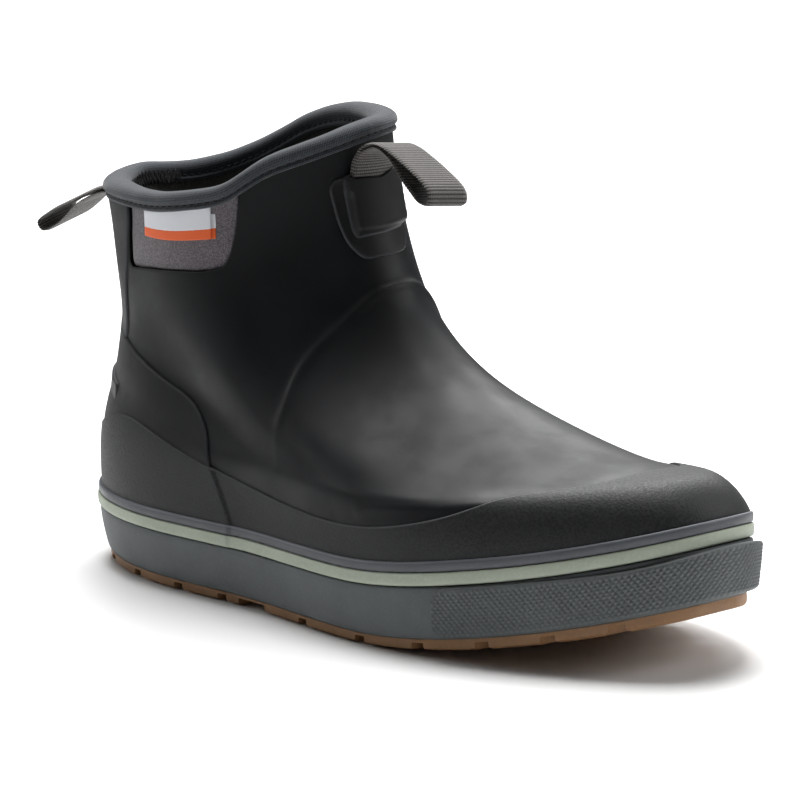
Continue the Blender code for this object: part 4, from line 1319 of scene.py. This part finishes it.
BACKDROP_GLOW = 1.7  # added where the camera sees the surroundings themselves
WORLD_LIGHT = 0.06
FLOOR_RADIUS = 0.72
CAMERA_AZIMUTH, CAMERA_ELEVATION = 46, 11
CAMERA_DISTANCE = 1.5
CAMERA_LENS = 183.9


def stand(name, data, place_m, direction):
    """A light or camera at a place, looking in a direction."""
    obj = bpy.data.objects.new(name, data)
    bpy.context.scene.collection.objects.link(obj)
    obj.location = place_m
    obj.rotation_mode = "QUATERNION"
    obj.rotation_quaternion = direction.to_track_quat("-Z", "Y")
    return obj


def area_light(name, place_m, aim_m, size, power):
    data = bpy.data.lights.new(name, "AREA")
    data.size = size
    data.energy = power
    stand(name, data, place_m, Vector(aim_m) - Vector(place_m))


def build_stage():
    floor_material = Shader("pale_floor", 0.6, Specular_IOR_Level=0.2)
    cloud = floor_material.noise(floor_material.place(), 3, 2)
    floor_material.link(floor_material.mix(cloud, (0.90, 0.90, 0.90), (0.93, 0.93, 0.93)), "Base Color")
    bpy.ops.mesh.primitive_circle_add(vertices=128, radius=FLOOR_RADIUS, fill_type="NGON", location=(0, 0, 0))
    floor = bpy.context.object
    floor.name = "floor"
    floor.data.materials.append(floor_material.material)
    world = bpy.data.worlds.new("studio")
    bpy.context.scene.world = world
    world.use_nodes = True
    tree = world.node_tree
    background = tree.nodes["Background"]
    background.inputs["Color"].default_value = (1, 1, 1, 1)
    seen = tree.nodes.new("ShaderNodeLightPath")
    strength = tree.nodes.new("ShaderNodeMath")
    strength.operation = "MULTIPLY_ADD"
    strength.inputs[1].default_value = BACKDROP_GLOW
    strength.inputs[2].default_value = WORLD_LIGHT
    tree.links.new(seen.outputs["Is Camera Ray"], strength.inputs[0])
    tree.links.new(strength.outputs[0], background.inputs["Strength"])
    area_light("overhead", (-0.3, 0.3, 1.5), (0.0, 0, 0.05), 1.0, 40)
    area_light("right_box", (0.95, 1.05, 0.8), (0, 0, 0.1), 0.8, 9)
    area_light("left_box", (-1.3, -0.6, 0.7), (0, 0, 0.08), 0.5, 4)
    area_light("backdrop_light", (-2.6, 3.4, 2.6), (-3.4, 4.2, 0), 3.0, 900)
    bpy.context.scene.view_settings.view_transform = "Standard"


def build_camera():
    azimuth, elevation = math.radians(CAMERA_AZIMUTH), math.radians(CAMERA_ELEVATION)
    back = Vector(
        (math.sin(azimuth) * math.cos(elevation), -math.cos(azimuth) * math.cos(elevation), math.sin(elevation))
    )
    right = Vector((math.cos(azimuth), math.sin(azimuth), 0))
    up = back.cross(right)
    aim = Vector(place([0, 0, 90])) + right * -0.0006 + up * -0.0131
    data = bpy.data.cameras.new("camera")
    data.lens = CAMERA_LENS
    bpy.context.scene.camera = stand("camera", data, aim + back * CAMERA_DISTANCE, -back)


materials = make_materials()
build_camera()
build_stage()
for build in (
    build_upper, build_panels, build_heel, build_mudguard, build_kick_lug, build_anchors, build_binding,
    build_heel_zigzag, build_lining, build_label, build_loops, build_stripes, build_sidewall, build_bumper,
    build_outsole, build_footbed, dress_inner_nodes,
):
    build(materials)
